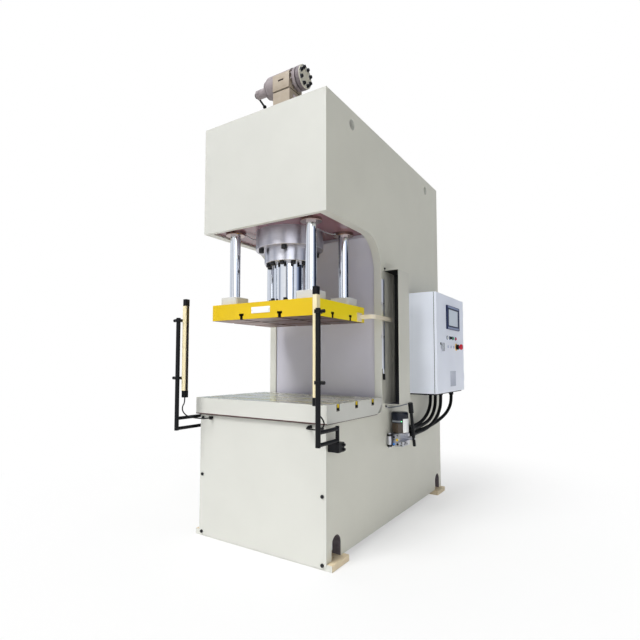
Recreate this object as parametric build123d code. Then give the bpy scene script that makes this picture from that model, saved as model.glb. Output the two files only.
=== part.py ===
from build123d import *

import math
import os

# C-frame hydraulic press with a slide on four guide posts.
# Millimetres, +Z up, +X to the operator's right, and the front faces -Y.
# The origin lies on the floor in the middle of the four anchor holes.

# Welded frame
frame_width = 960
frame_depth = 2060
frame_height = 2740
side_thickness = 55
head_front_thickness = 30
roof_thickness = 20
back_thickness = 20
throat_depth = 770
throat_radius = 230
throat_recess = 12
throat_lining = 20
head_height = 735
shelf_radius = 50
bed_web_thickness = 40

# Foot bars, anchor holes and the arched windows above them
foot_height = 35
foot_width = 200
foot_overhang = 35
anchor_setback = 110
anchor_hole = 28
window_width = 107
window_height = 129

# Lifting holes in the side plates
lift_hole = 70
lift_hole_drop = 95
lift_hole_front = 330
lift_hole_rear = 320

# Bed and its T-slots
bed_width = 1000
bed_depth = 750
bed_thickness = 105
bed_top = 900
bed_overhang = 30
bed_chamfer = 70
bed_slot_pitch = 236
bed_hole = 14
bed_hole_depth = 30
bed_hole_gap = 60
bed_hole_pitch = 320

# T-slots of the bed and the slide
slot_neck = 22
slot_head = 38
slot_head_height = 15
slot_depth = 38

# Front cover, a flat sheet with folded edges between the side plates
cover_sheet = 4
cover_width = 962
cover_bottom = 8
cover_top_gap = 9
cover_corner = 25
cover_return = 20
cover_return_gap = 6
cover_screw_inset = 24
cover_screw_edge = 1

# Hydraulic cylinder
ram_setback = 335
cylinder_plate_thickness = 60
cylinder_plate_rear = 640
barrel_diameter = 360
barrel_flange = 460
barrel_flange_height = 126
barrel_flange_round = 4
bore_diameter = 250
barrel_closure = 60
gland_diameter = 340
gland_height = 92
gland_spigot = 40
gland_round = 3
rod_diameter = 220
rod_foot = 236
rod_foot_height = 12
piston_height = 120
seal_width = 9
seal_height = 12
seal_inset = 24
stroke_down = 330
stroke_up = 170
end_cushion = 10
running_gap = 0.3
seat_fit = 0.05

# Slide
slide_width = 800
slide_depth = 650
slide_thickness = 105
slide_drop = 493
slide_slot_x = 150
slide_slot_y = 118
rod_flange_diameter = 300
rod_flange_thickness = 29
rod_flange_chamfer = 3

# Guide posts, their blocks and bushes
post_diameter = 70
post_offset_x = 303
post_offset_y = 212
post_length = 970
post_chamfer = 4
block_size = 140
block_height = 55
block_corner = 20
block_chamfer = 3
bush_diameter = 104
bush_flange = 136
bush_flange_thickness = 21
bush_chamfer = 3

# Socket screws: head diameter, head height, shank diameter, length under the head
flange_screw = (36, 26, 24, 160)
gland_screw = (30, 22, 20, 125)
rod_screw = (27, 18, 18, 50)
cover_screw = (20, 8, 12, 45)
cap_screw = (21, 14, 14, 45)
stand_screw = (16, 10, 10, 85)
flange_screw_circle = 400
flange_screw_count = 6
flange_screw_start = -66
gland_screw_circle = 290
gland_screw_count = 12
gland_screw_start = 15
rod_screw_circle = 260
rod_screw_count = 8
rod_screw_start = 22.5
screw_fit = 0.1
screw_room = 2
socket_share = 0.28
head_chamfer_share = 0.08

# Return pipe from the gland up into the head
pipe_diameter = 50
pipe_reach = 262
pipe_angle = 82
pipe_rise = 54
pipe_bend = 55

# Axial piston pump on the head, its axis along X
pump_setback = 155
pump_axis_height = 217
pump_block_left = 38
pump_block_right = 166
pump_block_half_width = 72
pump_block_top = 34
pump_block_chamfer = 3
pump_joint_drop = 81
pump_groove_height = 6
pump_groove_depth = 5
pump_drum_radius = 76
pump_drum_length = 88
pump_drum_flange = 60
pump_drum_flange_width = 10
pump_drum_shoulder = 50
pump_shoulder_end = 30
pump_neck_radius = 30
pump_neck_length = 94
pump_waist_radius = 54
pump_waist_length = 16
pump_disc_radius = 75
pump_disc_thickness = 20
pump_disc_gap = 8
pump_cap_radius = 76
pump_cap_thickness = 30
pump_cap_round = 5
pump_cap_recess = 4
pump_cap_recess_margin = 36
pump_screw_circle = 114
pump_screw_count = 8
pump_screw_start = 22.5
pump_rib_count = 12
pump_rib_thickness = 8
pump_rib_margin = 4
pedestal_foot = 24
pedestal_margin = 26
pedestal_corner = 14
pump_slot_length = 40
pump_slot_height = 10
pump_slot_depth = 6
pump_slot_drop = 18
gusset_left = 40
gusset_right = 70
gusset_drop = 20
lever_length = 95
lever_droop = 24
lever_hub = 36
lever_hub_width = 14
lever_bar = 13
lever_ball = 26
lever_pin = 14
lever_pin_depth = 20

# Position sensor, its guard and the arm that moves past it
sensor_setback = 772
sensor_width = 26
sensor_thickness = 12
sensor_bottom = 1094
sensor_height = 625
sensor_groove = 6
sensor_plug = 10
sensor_plug_length = 34
guard_setback = 805
guard_length = 200
guard_reach = 112
guard_bottom = 850
guard_height = 935
guard_sheet = 3
guard_ear = 32
guard_return = 30
arm_thickness = 12
arm_height = 28
arm_setback = 578
arm_drop = 72
arm_side = 507
arm_end_setback = 872
arm_bend = 30
arm_foot = 56
arm_foot_thickness = 10

# Control cabinet on the right side
cabinet_setback = 1250
cabinet_width = 760
cabinet_bottom = 904
cabinet_height = 772
cabinet_depth = 190
cabinet_standoff = 20
cabinet_sheet = 3
cabinet_rim = 22
rail_height = 40
rail_margin = 50
gland_plate = 10
gland_plate_margin = 3
gear_plate_margin = 40
gear_plate_thickness = 4
duct_levels = (0.02, 0.45, 0.88)
duct_depth = 50
duct_height = 40
duct_inset = 20
drive_level = 0.09
drive_depth = 105
drive_width = 160
drive_height = 220
drive_inset = 60
controller_level = 0.56
controller_count = 5
controller_pitch = 90
controller_depth = 70
controller_width = 70
controller_height = 100
door_thickness = 18
door_round = 3
door_inset = 1
door_gap = 4
door_sheet = 3
hinge_barrel = 16
hinge_pin = 8
hinge_half = 30
hinge_inset = 110
hinge_leaf = 50
hinge_leaf_thickness = 4
hinge_pin_gap = 4

# Operator devices on the door, from its lower front corner
display_width = 357
display_height = 192
display_along = 427
display_up = 598
display_proud = 10
display_side_border = 45
display_border = 30
display_corner = 6
display_edge = 2
display_recess = 2
display_depth = 38
button_up = 433
white_along = 267
selector_along = 335
green_along = 419
red_along = 497
button_ring = 30
button_neck = 26
button_cap = 22.8
button_stem = 16
button_proud = 6
button_travel = 4.5
button_reach = 37
button_floor = 10
button_round = 1.5
knob_rise = 8
knob_bar = 8
knob_bar_rise = 14
stop_along = 522
stop_up = 365
stop_ring = 60
stop_ring_thickness = 3
stop_body = 42
stop_body_height = 22
stop_body_chamfer = 3
stop_head_gap = 2
stop_head_edge = 4
stop_neck = 30
stop_head = 46
stop_head_height = 20
stop_stem = 24
stop_travel = 6
latch_along = 121
latch_up = 372
latch_rose = 30
latch_rose_height = 8
latch_handle_above = 14
latch_handle_below = 50
latch_handle_width = 20
latch_handle_thickness = 12
latch_handle_round = 5
latch_shaft = 16
latch_tongue = 106
latch_tongue_width = 22
latch_tongue_round = 6
latch_tongue_gap = 1
device_gap = 0.3

# Conduits from the cabinet into the side plate, and the leads of the light bars
conduit_diameter = 26
conduit_nut = 38
conduit_nut_height = 24
conduit_entry_heights = (650, 608, 650, 608)
conduit_entry_setbacks = (1195, 1195, 1150, 1150)
conduit_entry_reach = (32, 32, 74, 74)
conduit_exit_setbacks = (1650, 1824, 1645, 1698)
conduit_exit_reach = (50, 170, 92, 120)
lead_diameter = 8
lead_nut = 24
lead_nut_height = 20
lead_entry_x = 380

# Grease lubricator on the right side
lubricator_setback = 845
lubricator_length = 155
lubricator_bottom = 557
lubricator_height = 83
lubricator_plate = 8
lubricator_plate_round = 8
manifold_front = 30
manifold_reach = 108
manifold_chamfer = 4
manifold_step = 26
manifold_step_height = 34
lubricator_axis_reach = 64
lubricator_axis_setback = 927
bowl_diameter = 114
bowl_height = 71
bowl_wall = 4
bowl_round = 10
bowl_seat = 68
bowl_seat_height = 5
lubricator_cap_diameter = 118
cap_height = 77
cap_dome = 16
reservoir_diameter = 30
reservoir_reach = 20
reservoir_end = 22
reservoir_end_height = 8
fitting_diameter = 18
fitting_length = 10
handle_pin_setback = 982
handle_pin_height = 604
handle_pin = 14
handle_boss = 26
handle_reach = 143
handle_above = 262
handle_below = 54
handle_bar = 22
handle_grip = 34
handle_grip_length = 78
handle_grip_taper = 6
handle_hole = 7
handle_hole_up = 12
handle_lean = 13

# Light-curtain stands in front of the bed
stand_x = 530
stand_forward = 174
stand_top = 1422
stand_bottom = 694
stand_tube = 28
arm_tube = 22
arm_tube_high = 770
stand_leg_right = 35
stand_leg_left = 95
stand_leg_bottom = 660
stand_block_reach = 68
stand_block_lead = 20
stand_block_length = 75
stand_block_bottom = 640
stand_block_height = 52
stand_block_round = 8
light_bar_x = 497
light_bar_forward = 138
light_bar_width = 28
light_bar_thickness = 34
light_bar_bottom = 905
light_bar_top = 1545
light_bar_window = 18
light_bar_window_depth = 3
light_bar_round = 5
light_bar_cap = 44
clamp_heights = (1030, 1405)
clamp_collar = 42
clamp_height = 18
knob_reach = 26
knob_shank = 8
knob_diameter = 20
knob_length = 15
knob_round = 3

# Places worked out from the sizes above
front_y = -frame_depth / 2
rear_y = frame_depth / 2
side_x = frame_width / 2
inner_x = side_x - side_thickness
head_underside = frame_height - head_height
slide_top = head_underside - slide_drop
ram_y = front_y + ram_setback
bed_underside = bed_top - bed_thickness
cover_face = front_y - cover_sheet
plate_underside = head_underside + throat_recess
plate_topside = plate_underside + cylinder_plate_thickness
flange_underside = plate_underside - barrel_flange_height
gland_underside = flange_underside - gland_height
slide_underside = slide_top - slide_thickness
piston_underside = flange_underside + gland_spigot + stroke_down + end_cushion
piston_topside = piston_underside + piston_height
bore_topside = piston_topside + stroke_up + end_cushion
post_places = [
    (side * post_offset_x, ram_y + end * post_offset_y) for side in (-1, 1) for end in (-1, 1)
]
pump_y = front_y + pump_setback
pump_z = frame_height + pump_axis_height
pump_disc_left = pump_block_right + pump_waist_length
pump_cap_left = pump_disc_left + pump_disc_thickness + pump_disc_gap
pump_cap_right = pump_cap_left + pump_cap_thickness
pump_drum_left = pump_block_left - pump_drum_length
pump_neck_left = pump_drum_left - pump_neck_length
cabinet_back = side_x + cabinet_standoff
cabinet_face = cabinet_back + cabinet_depth
cabinet_y = front_y + cabinet_setback
cabinet_rear = cabinet_y + cabinet_width
door_back = cabinet_face + door_gap
door_face = door_back + door_thickness
hinge_x = door_back + door_thickness / 2
hinge_y = cabinet_rear + hinge_barrel / 2 + 1
lubricator_y = front_y + lubricator_setback
lubricator_top = lubricator_bottom + lubricator_height
lubricator_axis_x = side_x + lubricator_axis_reach
lubricator_axis_y = front_y + lubricator_axis_setback
bowl_base = lubricator_top + bowl_seat_height
manifold_face = side_x + manifold_reach
stand_y = front_y - stand_forward
stand_leg_y = {1: front_y + stand_leg_right, -1: front_y + stand_leg_left}
light_bar_y = front_y - light_bar_forward


def block(x0, x1, y0, y1, z0, z1):
    """A box between two corners."""
    return Pos((x0 + x1) / 2, (y0 + y1) / 2, (z0 + z1) / 2) * Box(x1 - x0, y1 - y0, z1 - z0)


def upright(diameter, z0, z1, x=0, y=0):
    """A cylinder standing along Z."""
    return Pos(x, y, (z0 + z1) / 2) * Cylinder(diameter / 2, z1 - z0)


def along_x(diameter, x0, x1, y, z):
    """A cylinder lying along X."""
    return Pos((x0 + x1) / 2, y, z) * Rot(0, 90, 0) * Cylinder(diameter / 2, x1 - x0)


def along_y(diameter, y0, y1, x, z):
    """A cylinder lying along Y."""
    return Pos(x, (y0 + y1) / 2, z) * Rot(90, 0, 0) * Cylinder(diameter / 2, y1 - y0)


def left_of(shape):
    """The same piece on the left side of the press."""
    return mirror(shape, about=Plane.YZ)


def ring_places(circle, count, start):
    """Evenly spaced places round a bolt circle."""
    angles = [math.radians(start + 360 * k / count) for k in range(count)]
    return [(circle / 2 * math.cos(a), circle / 2 * math.sin(a)) for a in angles]


def flange_places():
    """The screws that hold the cylinder to its plate."""
    ring = ring_places(flange_screw_circle, flange_screw_count, flange_screw_start)
    return [(x, ram_y + y) for x, y in ring]


def gland_places():
    """The screws that hold the gland to the cylinder."""
    ring = ring_places(gland_screw_circle, gland_screw_count, gland_screw_start)
    return [(x, ram_y + y) for x, y in ring]


def rod_screw_places():
    """The screws that hold the rod's flange to the slide."""
    ring = ring_places(rod_screw_circle, rod_screw_count, rod_screw_start)
    return [(x, ram_y + y) for x, y in ring]


def cap_screw_places():
    """The Y and Z of the screws in the pump's end cap."""
    ring = ring_places(pump_screw_circle, pump_screw_count, pump_screw_start)
    return [(pump_y + y, pump_z + z) for y, z in ring]


def cover_screw_places():
    """The X and Z of the six screws in the front cover."""
    low = foot_height - cover_screw[2] / 2 - cover_screw_edge
    high = bed_underside - cover_top_gap - (low - cover_bottom)
    x = cover_width / 2 - cover_screw_inset
    return [(side * x, z) for side in (-1, 1) for z in (low, (low + high) / 2, high)]


def stand_screw_places(side):
    """The Y and Z of the two screws that hold a stand's block, side 1 right and -1 left."""
    block_front = stand_leg_y[side] - stand_block_lead
    y = block_front + stand_block_length - stand_screw[0]
    middle = stand_block_bottom + stand_block_height / 2
    return [(y, middle + side * stand_block_height / 4) for side in (-1, 1)]


def socket_screw(size):
    """A socket-head screw: its head stands up from z = 0 and its shank hangs below."""
    head_diameter, head_height, shank, length = size
    head = upright(head_diameter, 0, head_height)
    head = chamfer(head.edges().group_by(Axis.Z)[-1], head_height * head_chamfer_share)
    socket = extrude(RegularPolygon(head_diameter * socket_share, 6), head_height)
    return head + upright(shank, -length, 0) - Pos(0, 0, head_height / 2) * socket


def t_slot(length):
    """The room of a T-slot along X that opens upwards at z = 0."""
    neck = block(-length / 2, length / 2, -slot_neck / 2, slot_neck / 2, -slot_depth, 1)
    head_top = slot_head_height - slot_depth
    head = block(-length / 2, length / 2, -slot_head / 2, slot_head / 2, -slot_depth, head_top)
    return neck + head


def throat_room(inset, x0, x1):
    """The room between head and bed, open to the front and grown by inset."""
    y1 = front_y + throat_depth + inset
    room = block(x0, x1, front_y - 1, y1, bed_underside - inset, head_underside + inset)
    upper = room.edges().filter_by(Axis.X).group_by(Axis.Z)[-1].sort_by(Axis.Y)[-1]
    room = fillet(upper, throat_radius + inset)
    lower = room.edges().filter_by(Axis.X).group_by(Axis.Z)[0].sort_by(Axis.Y)[-1]
    return fillet(lower, shelf_radius + inset)


def foot_window(y):
    """The arched window over an anchor hole in the right side plate."""
    spring = foot_height + window_height - window_width / 2
    half = window_width / 2
    legs = block(inner_x - 1, side_x + 1, y - half, y + half, foot_height - 1, spring)
    return legs + along_x(window_width, inner_x - 1, side_x + 1, y, spring)


def side_plate(side):
    """One C-shaped side plate, side 1 for the right and -1 for the left."""
    plate = block(inner_x, side_x, front_y, rear_y, foot_height, frame_height)
    plate -= throat_room(0, inner_x - 1, side_x + 1)
    for y in (front_y + anchor_setback, rear_y - anchor_setback):
        plate -= foot_window(y)
    for y in (front_y + lift_hole_front, rear_y - lift_hole_rear):
        plate -= along_x(lift_hole, inner_x - 1, side_x + 1, y, frame_height - lift_hole_drop)
    for x, z in cover_screw_places():
        if x > 0 and z > foot_height:
            end = cover_face + cover_screw[3] + screw_room
            plate -= along_y(cover_screw[2] + screw_fit, front_y - 1, end, x, z)
    reach = side_x + stand_block_reach - stand_screw[3]
    for y, z in stand_screw_places(side):
        plate -= along_x(stand_screw[2] + screw_fit, reach - screw_room, side_x + 1, y, z)
    if side < 0:
        return left_of(plate)
    for setback, z in zip(conduit_entry_setbacks, conduit_entry_heights):
        plate -= along_x(conduit_diameter, inner_x - 1, side_x + 1, front_y + setback, z)
    return plate


def head_front_plate():
    """The front wall of the head, between the side plates."""
    return block(
        -inner_x, inner_x, front_y, front_y + head_front_thickness, head_underside, frame_height
    )


def head_top_plate():
    """The roof over head and column."""
    y0 = front_y + head_front_thickness
    y1 = rear_y - back_thickness
    return block(-inner_x, inner_x, y0, y1, frame_height - roof_thickness, frame_height)


def back_plate():
    """The rear wall from the foot bar up to the roof."""
    return block(-inner_x, inner_x, rear_y - back_thickness, rear_y, foot_height, frame_height)


def cylinder_plate():
    """The thick plate in the head that carries the cylinder and the four bushes."""
    y0 = front_y + head_front_thickness
    y1 = front_y + cylinder_plate_rear
    z0 = plate_underside - 1
    z1 = plate_topside + 1
    plate = block(-inner_x, inner_x, y0, y1, plate_underside, plate_topside)
    plate -= upright(barrel_diameter + 2 * seat_fit, z0, z1, 0, ram_y)
    for x, y in post_places:
        plate -= upright(bush_diameter, z0, z1, x, y)
    for x, y in flange_places():
        plate -= upright(flange_screw[2] + screw_fit, z0, z1, x, y)
    x, y = pipe_place()
    plate -= upright(pipe_diameter + 2 * running_gap, z0, z1, x, y)
    return plate


def throat_plate():
    """The bent plate that lines the throat and runs down behind the bed to the floor bar."""
    outer = throat_room(throat_recess + throat_lining, -inner_x, inner_x)
    inner = throat_room(throat_recess, -inner_x - 1, inner_x + 1)
    plate_y = front_y + throat_depth + throat_recess
    keep = block(
        -inner_x,
        inner_x,
        front_y + cylinder_plate_rear,
        plate_y + throat_lining,
        bed_top,
        frame_height,
    )
    arch = (outer - inner) & keep
    return arch + block(-inner_x, inner_x, plate_y, plate_y + throat_lining, foot_height, bed_top)


def bed_web():
    """The cross wall under the bed, below the ram."""
    half = bed_web_thickness / 2
    return block(-inner_x, inner_x, ram_y - half, ram_y + half, foot_height, bed_underside)


def bed_plate():
    """The bed with three T-slots and pairs of tapped holes between them."""
    x = bed_width / 2
    y0 = front_y - bed_overhang
    plate = block(-x, x, y0, y0 + bed_depth, bed_underside, bed_top)
    rear_edge = plate.edges().filter_by(Axis.X).group_by(Axis.Z)[0].sort_by(Axis.Y)[-1]
    plate = chamfer(rear_edge, bed_chamfer)
    for row in (-1, 0, 1):
        plate -= Pos(0, ram_y + row * bed_slot_pitch, bed_top) * t_slot(bed_width + 2)
    for row in (-0.5, 0.5):
        for column in (-1, 0, 1):
            for pair in (-0.5, 0.5):
                hole_x = column * bed_hole_pitch + pair * bed_hole_gap
                hole_y = ram_y + row * bed_slot_pitch
                plate -= upright(bed_hole, bed_top - bed_hole_depth, bed_top + 1, hole_x, hole_y)
    return plate


def foot_bars():
    """The two bars that the frame stands on, with their anchor holes."""
    x = side_x + foot_overhang
    anchor_x = side_x - side_thickness / 2
    bars = []
    for y0, hole_y in ((front_y, front_y + anchor_setback), (rear_y - foot_width, rear_y - anchor_setback)):
        bar = block(-x, x, y0, y0 + foot_width, 0, foot_height)
        for side in (-1, 1):
            bar -= upright(anchor_hole, -1, foot_height + 1, side * anchor_x, hole_y)
        bars.append(bar)
    for hole_x, z in cover_screw_places():
        if z < foot_height:
            depth = cover_face + cover_screw[3] + screw_room
            bars[0] -= along_y(cover_screw[2] + screw_fit, cover_face, depth, hole_x, z)
    return bars


def front_cover():
    """The sheet that closes the front of the base, with folded edges between the side plates."""
    x = cover_width / 2
    top = bed_underside - cover_top_gap
    face = block(-x, x, cover_face, front_y, cover_bottom, top)
    cover = fillet(face.edges().filter_by(Axis.Y).group_by(Axis.Z)[0], cover_corner)
    fold_x = inner_x - cover_return_gap
    fold_end = front_y + cover_return
    low = foot_height + cover_return_gap
    fold = block(fold_x - cover_sheet, fold_x, cover_face + 1, fold_end, low, top)
    cover += fold + left_of(fold)
    cover += block(-fold_x, fold_x, cover_face + 1, fold_end, top - cover_sheet, top)
    for hole_x, z in cover_screw_places():
        cover -= along_y(cover_screw[2] + screw_fit, cover_face - 1, front_y + 1, hole_x, z)
    for side in (-1, 1):
        hole_x = side * lead_entry_x
        cover -= along_y(lead_diameter, cover_face - 1, front_y + 1, hole_x, lead_entry_height())
    return cover


def lead_entry_height():
    """The height of the lead's gland, close under the top of the cover."""
    return bed_underside - cover_top_gap - lead_nut / 2 - cover_sheet


def cylinder_barrel():
    """The closed cylinder with its mounting flange under the head."""
    barrel = upright(barrel_diameter, flange_underside, bore_topside + barrel_closure, 0, ram_y)
    flange = upright(barrel_flange, flange_underside, plate_underside, 0, ram_y)
    barrel += fillet(flange.edges().group_by(Axis.Z)[0], barrel_flange_round)
    barrel -= upright(bore_diameter, flange_underside - 1, bore_topside, 0, ram_y)
    for x, y in flange_places():
        barrel -= upright(flange_screw[2] + screw_fit, flange_underside - 1, plate_underside + 1, x, y)
    thread_top = gland_underside + gland_screw[3] + screw_room
    for x, y in gland_places():
        barrel -= upright(gland_screw[2] + screw_fit, flange_underside - 1, thread_top, x, y)
    return barrel


def cylinder_gland():
    """The gland ring that guides the piston rod, with a groove for its seal."""
    gland = upright(gland_diameter, gland_underside, flange_underside, 0, ram_y)
    gland = fillet(gland.edges().group_by(Axis.Z)[0], gland_round)
    spigot_top = flange_underside + gland_spigot
    gland += upright(bore_diameter - 2 * seat_fit, flange_underside, spigot_top, 0, ram_y)
    gland -= upright(rod_diameter + 2 * running_gap, gland_underside - 1, spigot_top + 1, 0, ram_y)
    groove = gland_underside + seal_inset
    gland -= upright(rod_diameter + 2 * seal_width, groove, groove + seal_height, 0, ram_y)
    for x, y in gland_places():
        gland -= upright(gland_screw[2] + screw_fit, gland_underside - 1, flange_underside + 1, x, y)
    return gland


def ring(outer, inner, z0, z1):
    """A flat ring round the ram's axis."""
    return upright(outer, z0, z1, 0, ram_y) - upright(inner, z0 - 1, z1 + 1, 0, ram_y)


def rod_seal():
    """The seal in the gland that wipes the rod."""
    z0 = gland_underside + seal_inset + seat_fit
    z1 = z0 + seal_height - 2 * seat_fit
    outer = rod_diameter + 2 * (seal_width - seat_fit)
    return ring(outer, rod_diameter + 2 * seat_fit, z0, z1)


def piston_seal():
    """The seal round the piston."""
    z0 = piston_underside + (piston_height - seal_height) / 2 + seat_fit
    z1 = z0 + seal_height - 2 * seat_fit
    inner = bore_diameter - 2 * (seal_width - seat_fit)
    return ring(bore_diameter - 2 * seat_fit, inner, z0, z1)


def frame_screws():
    """The socket screws of cylinder, gland, front cover, pump cap and curtain stands."""
    screws = []
    downward = Rot(180, 0, 0)
    for x, y in flange_places():
        screws.append(Pos(x, y, flange_underside) * downward * socket_screw(flange_screw))
    for x, y in gland_places():
        screws.append(Pos(x, y, gland_underside) * downward * socket_screw(gland_screw))
    for x, z in cover_screw_places():
        screws.append(Pos(x, cover_face, z) * Rot(90, 0, 0) * socket_screw(cover_screw))
    for y, z in cap_screw_places():
        screws.append(Pos(pump_cap_right, y, z) * Rot(0, 90, 0) * socket_screw(cap_screw))
    for side in (-1, 1):
        for y, z in stand_screw_places(side):
            place = Pos(side * (side_x + stand_block_reach), y, z) * Rot(0, side * 90, 0)
            screws.append(place * socket_screw(stand_screw))
    return screws


def guide_bushes():
    """Four flanged bushes in the cylinder plate."""
    z0 = plate_underside - bush_flange_thickness
    bushes = []
    for x, y in post_places:
        collar = upright(bush_flange, z0, plate_underside, x, y)
        collar = chamfer(collar.edges().group_by(Axis.Z)[0], bush_chamfer)
        bush = collar + upright(bush_diameter - 2 * seat_fit, plate_underside, plate_topside, x, y)
        bushes.append(bush - upright(post_diameter + 2 * seat_fit, z0 - 1, plate_topside + 1, x, y))
    return bushes


def pipe_place():
    """Where the return pipe goes up through the cylinder plate."""
    angle = math.radians(pipe_angle)
    return (pipe_reach * math.cos(angle), ram_y + pipe_reach * math.sin(angle))


def return_pipe():
    """The oil pipe from the gland's side up through the cylinder plate."""
    x, y = pipe_place()
    z = gland_underside + pipe_rise
    start = (gland_diameter / 2 + seat_fit) / pipe_reach
    points = [(x * start, ram_y + (y - ram_y) * start, z), (x, y, z), (x, y, plate_topside)]
    path = FilletPolyline(*points, radius=pipe_bend)
    return sweep(Plane(origin=path @ 0, z_dir=path % 0) * Circle(pipe_diameter / 2), path=path)


def slide_plate():
    """The moving slide, with crossed T-slots that open downwards."""
    x = slide_width / 2
    y = slide_depth / 2
    plate = block(-x, x, ram_y - y, ram_y + y, slide_underside, slide_top)
    down = Rot(180, 0, 0)
    for side in (-1, 1):
        along = Pos(0, ram_y + side * slide_slot_y, slide_underside) * down * t_slot(slide_width + 2)
        middle = Pos(side * slide_slot_x, ram_y, slide_underside)
        across = middle * Rot(0, 0, 90) * down * t_slot(slide_depth + 2)
        plate -= along
        plate -= across
    for hole_x, hole_y in rod_screw_places():
        depth = slide_top + rod_flange_thickness - rod_screw[3] - screw_room
        plate -= upright(rod_screw[2] + screw_fit, depth, slide_top + 1, hole_x, hole_y)
    return plate


def piston_rod():
    """The plated rod with its foot on the slide and its piston in the cylinder."""
    rod = upright(rod_diameter, slide_top, piston_topside, 0, ram_y)
    rod += upright(rod_foot, slide_top, slide_top + rod_foot_height, 0, ram_y)
    rod += upright(bore_diameter - 2 * running_gap, piston_underside, piston_topside, 0, ram_y)
    groove = piston_underside + (piston_height - seal_height) / 2
    return rod - ring(bore_diameter + 1, bore_diameter - 2 * seal_width, groove, groove + seal_height)


def rod_flange():
    """The ring that clamps the foot of the rod to the slide."""
    top = slide_top + rod_flange_thickness
    flange = upright(rod_flange_diameter, slide_top, top, 0, ram_y)
    flange = chamfer(flange.edges().group_by(Axis.Z)[-1], rod_flange_chamfer)
    flange -= upright(rod_diameter + 2 * seat_fit, slide_top, top + 1, 0, ram_y)
    foot_room = slide_top + rod_foot_height
    flange -= upright(rod_foot + 2 * seat_fit, slide_top - 1, foot_room, 0, ram_y)
    for x, y in rod_screw_places():
        flange -= upright(rod_screw[2] + screw_fit, slide_top - 1, top + 1, x, y)
    return flange


def rod_flange_screws():
    """The socket screws that hold the rod's flange to the slide."""
    seat = slide_top + rod_flange_thickness
    return [Pos(x, y, seat) * socket_screw(rod_screw) for x, y in rod_screw_places()]


def guide_posts():
    """Four plated posts that stand on the slide."""
    posts = []
    for x, y in post_places:
        post = upright(post_diameter, slide_top, slide_top + post_length, x, y)
        posts.append(chamfer(post.edges().group_by(Axis.Z)[-1], post_chamfer))
    return posts


def post_blocks():
    """The blocks that hold the feet of the guide posts."""
    half = block_size / 2
    top = slide_top + block_height
    blocks = []
    for x, y in post_places:
        foot = block(x - half, x + half, y - half, y + half, slide_top, top)
        foot = fillet(foot.edges().filter_by(Axis.Z), block_corner)
        foot = chamfer(foot.edges().group_by(Axis.Z)[-1], block_chamfer)
        blocks.append(foot - upright(post_diameter + 2 * seat_fit, slide_top - 1, top + 1, x, y))
    return blocks


def sensor_arm():
    """The bent flat bar that carries the slide's height out to the position sensor."""
    z = slide_top - arm_drop
    y = front_y + arm_setback
    edge = slide_width / 2
    path = FilletPolyline(
        (edge, y, z), (arm_side, y, z), (arm_side, front_y + arm_end_setback, z), radius=arm_bend
    )
    section = Plane(origin=path @ 0, x_dir=(0, 0, 1), z_dir=path % 0) * Rectangle(arm_height, arm_thickness)
    half = arm_foot / 2
    foot = block(edge, edge + arm_foot_thickness, y - half, y + half, z - half, z + half)
    return foot + sweep(section, path=path)


def sensor_rail():
    """The grooved profile of the position sensor on the right side plate."""
    y0 = front_y + sensor_setback
    x1 = side_x + sensor_thickness
    top = sensor_bottom + sensor_height
    rail = block(side_x, x1, y0, y0 + sensor_width, sensor_bottom, top)
    middle = y0 + sensor_width / 2
    half = sensor_groove / 2
    rail -= block(x1 - half, x1 + 1, middle - half, middle + half, sensor_bottom - 1, top + 1)
    plug_x = side_x + sensor_thickness / 2
    return rail + upright(sensor_plug, sensor_bottom - sensor_plug_length, sensor_bottom, plug_x, middle)


def sensor_guard():
    """The folded guard round the arm's path, open to the front and to the side plate."""
    y0 = front_y + guard_setback
    y1 = y0 + guard_length
    x1 = side_x + guard_reach
    top = guard_bottom + guard_height
    shell = block(side_x, x1, y0, y1, guard_bottom, top)
    shell -= block(
        side_x - 1,
        x1 - guard_sheet,
        y0 - 1,
        y1 - guard_sheet,
        guard_bottom + guard_sheet,
        top - guard_sheet,
    )
    shell += block(side_x, side_x + guard_sheet, y1 - guard_return, y1, guard_bottom, top)
    for z0 in (guard_bottom - guard_ear, top):
        shell += block(side_x, side_x + guard_sheet, y0, y0 + guard_ear, z0, z0 + guard_ear)
    return shell


def cap_room(y, z):
    """The clearance hole of one pump cap screw, from the cap into the disc."""
    reach = pump_cap_right - cap_screw[3] - screw_room
    return along_x(cap_screw[2] + screw_fit, reach, pump_cap_right + 1, y, z)


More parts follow.
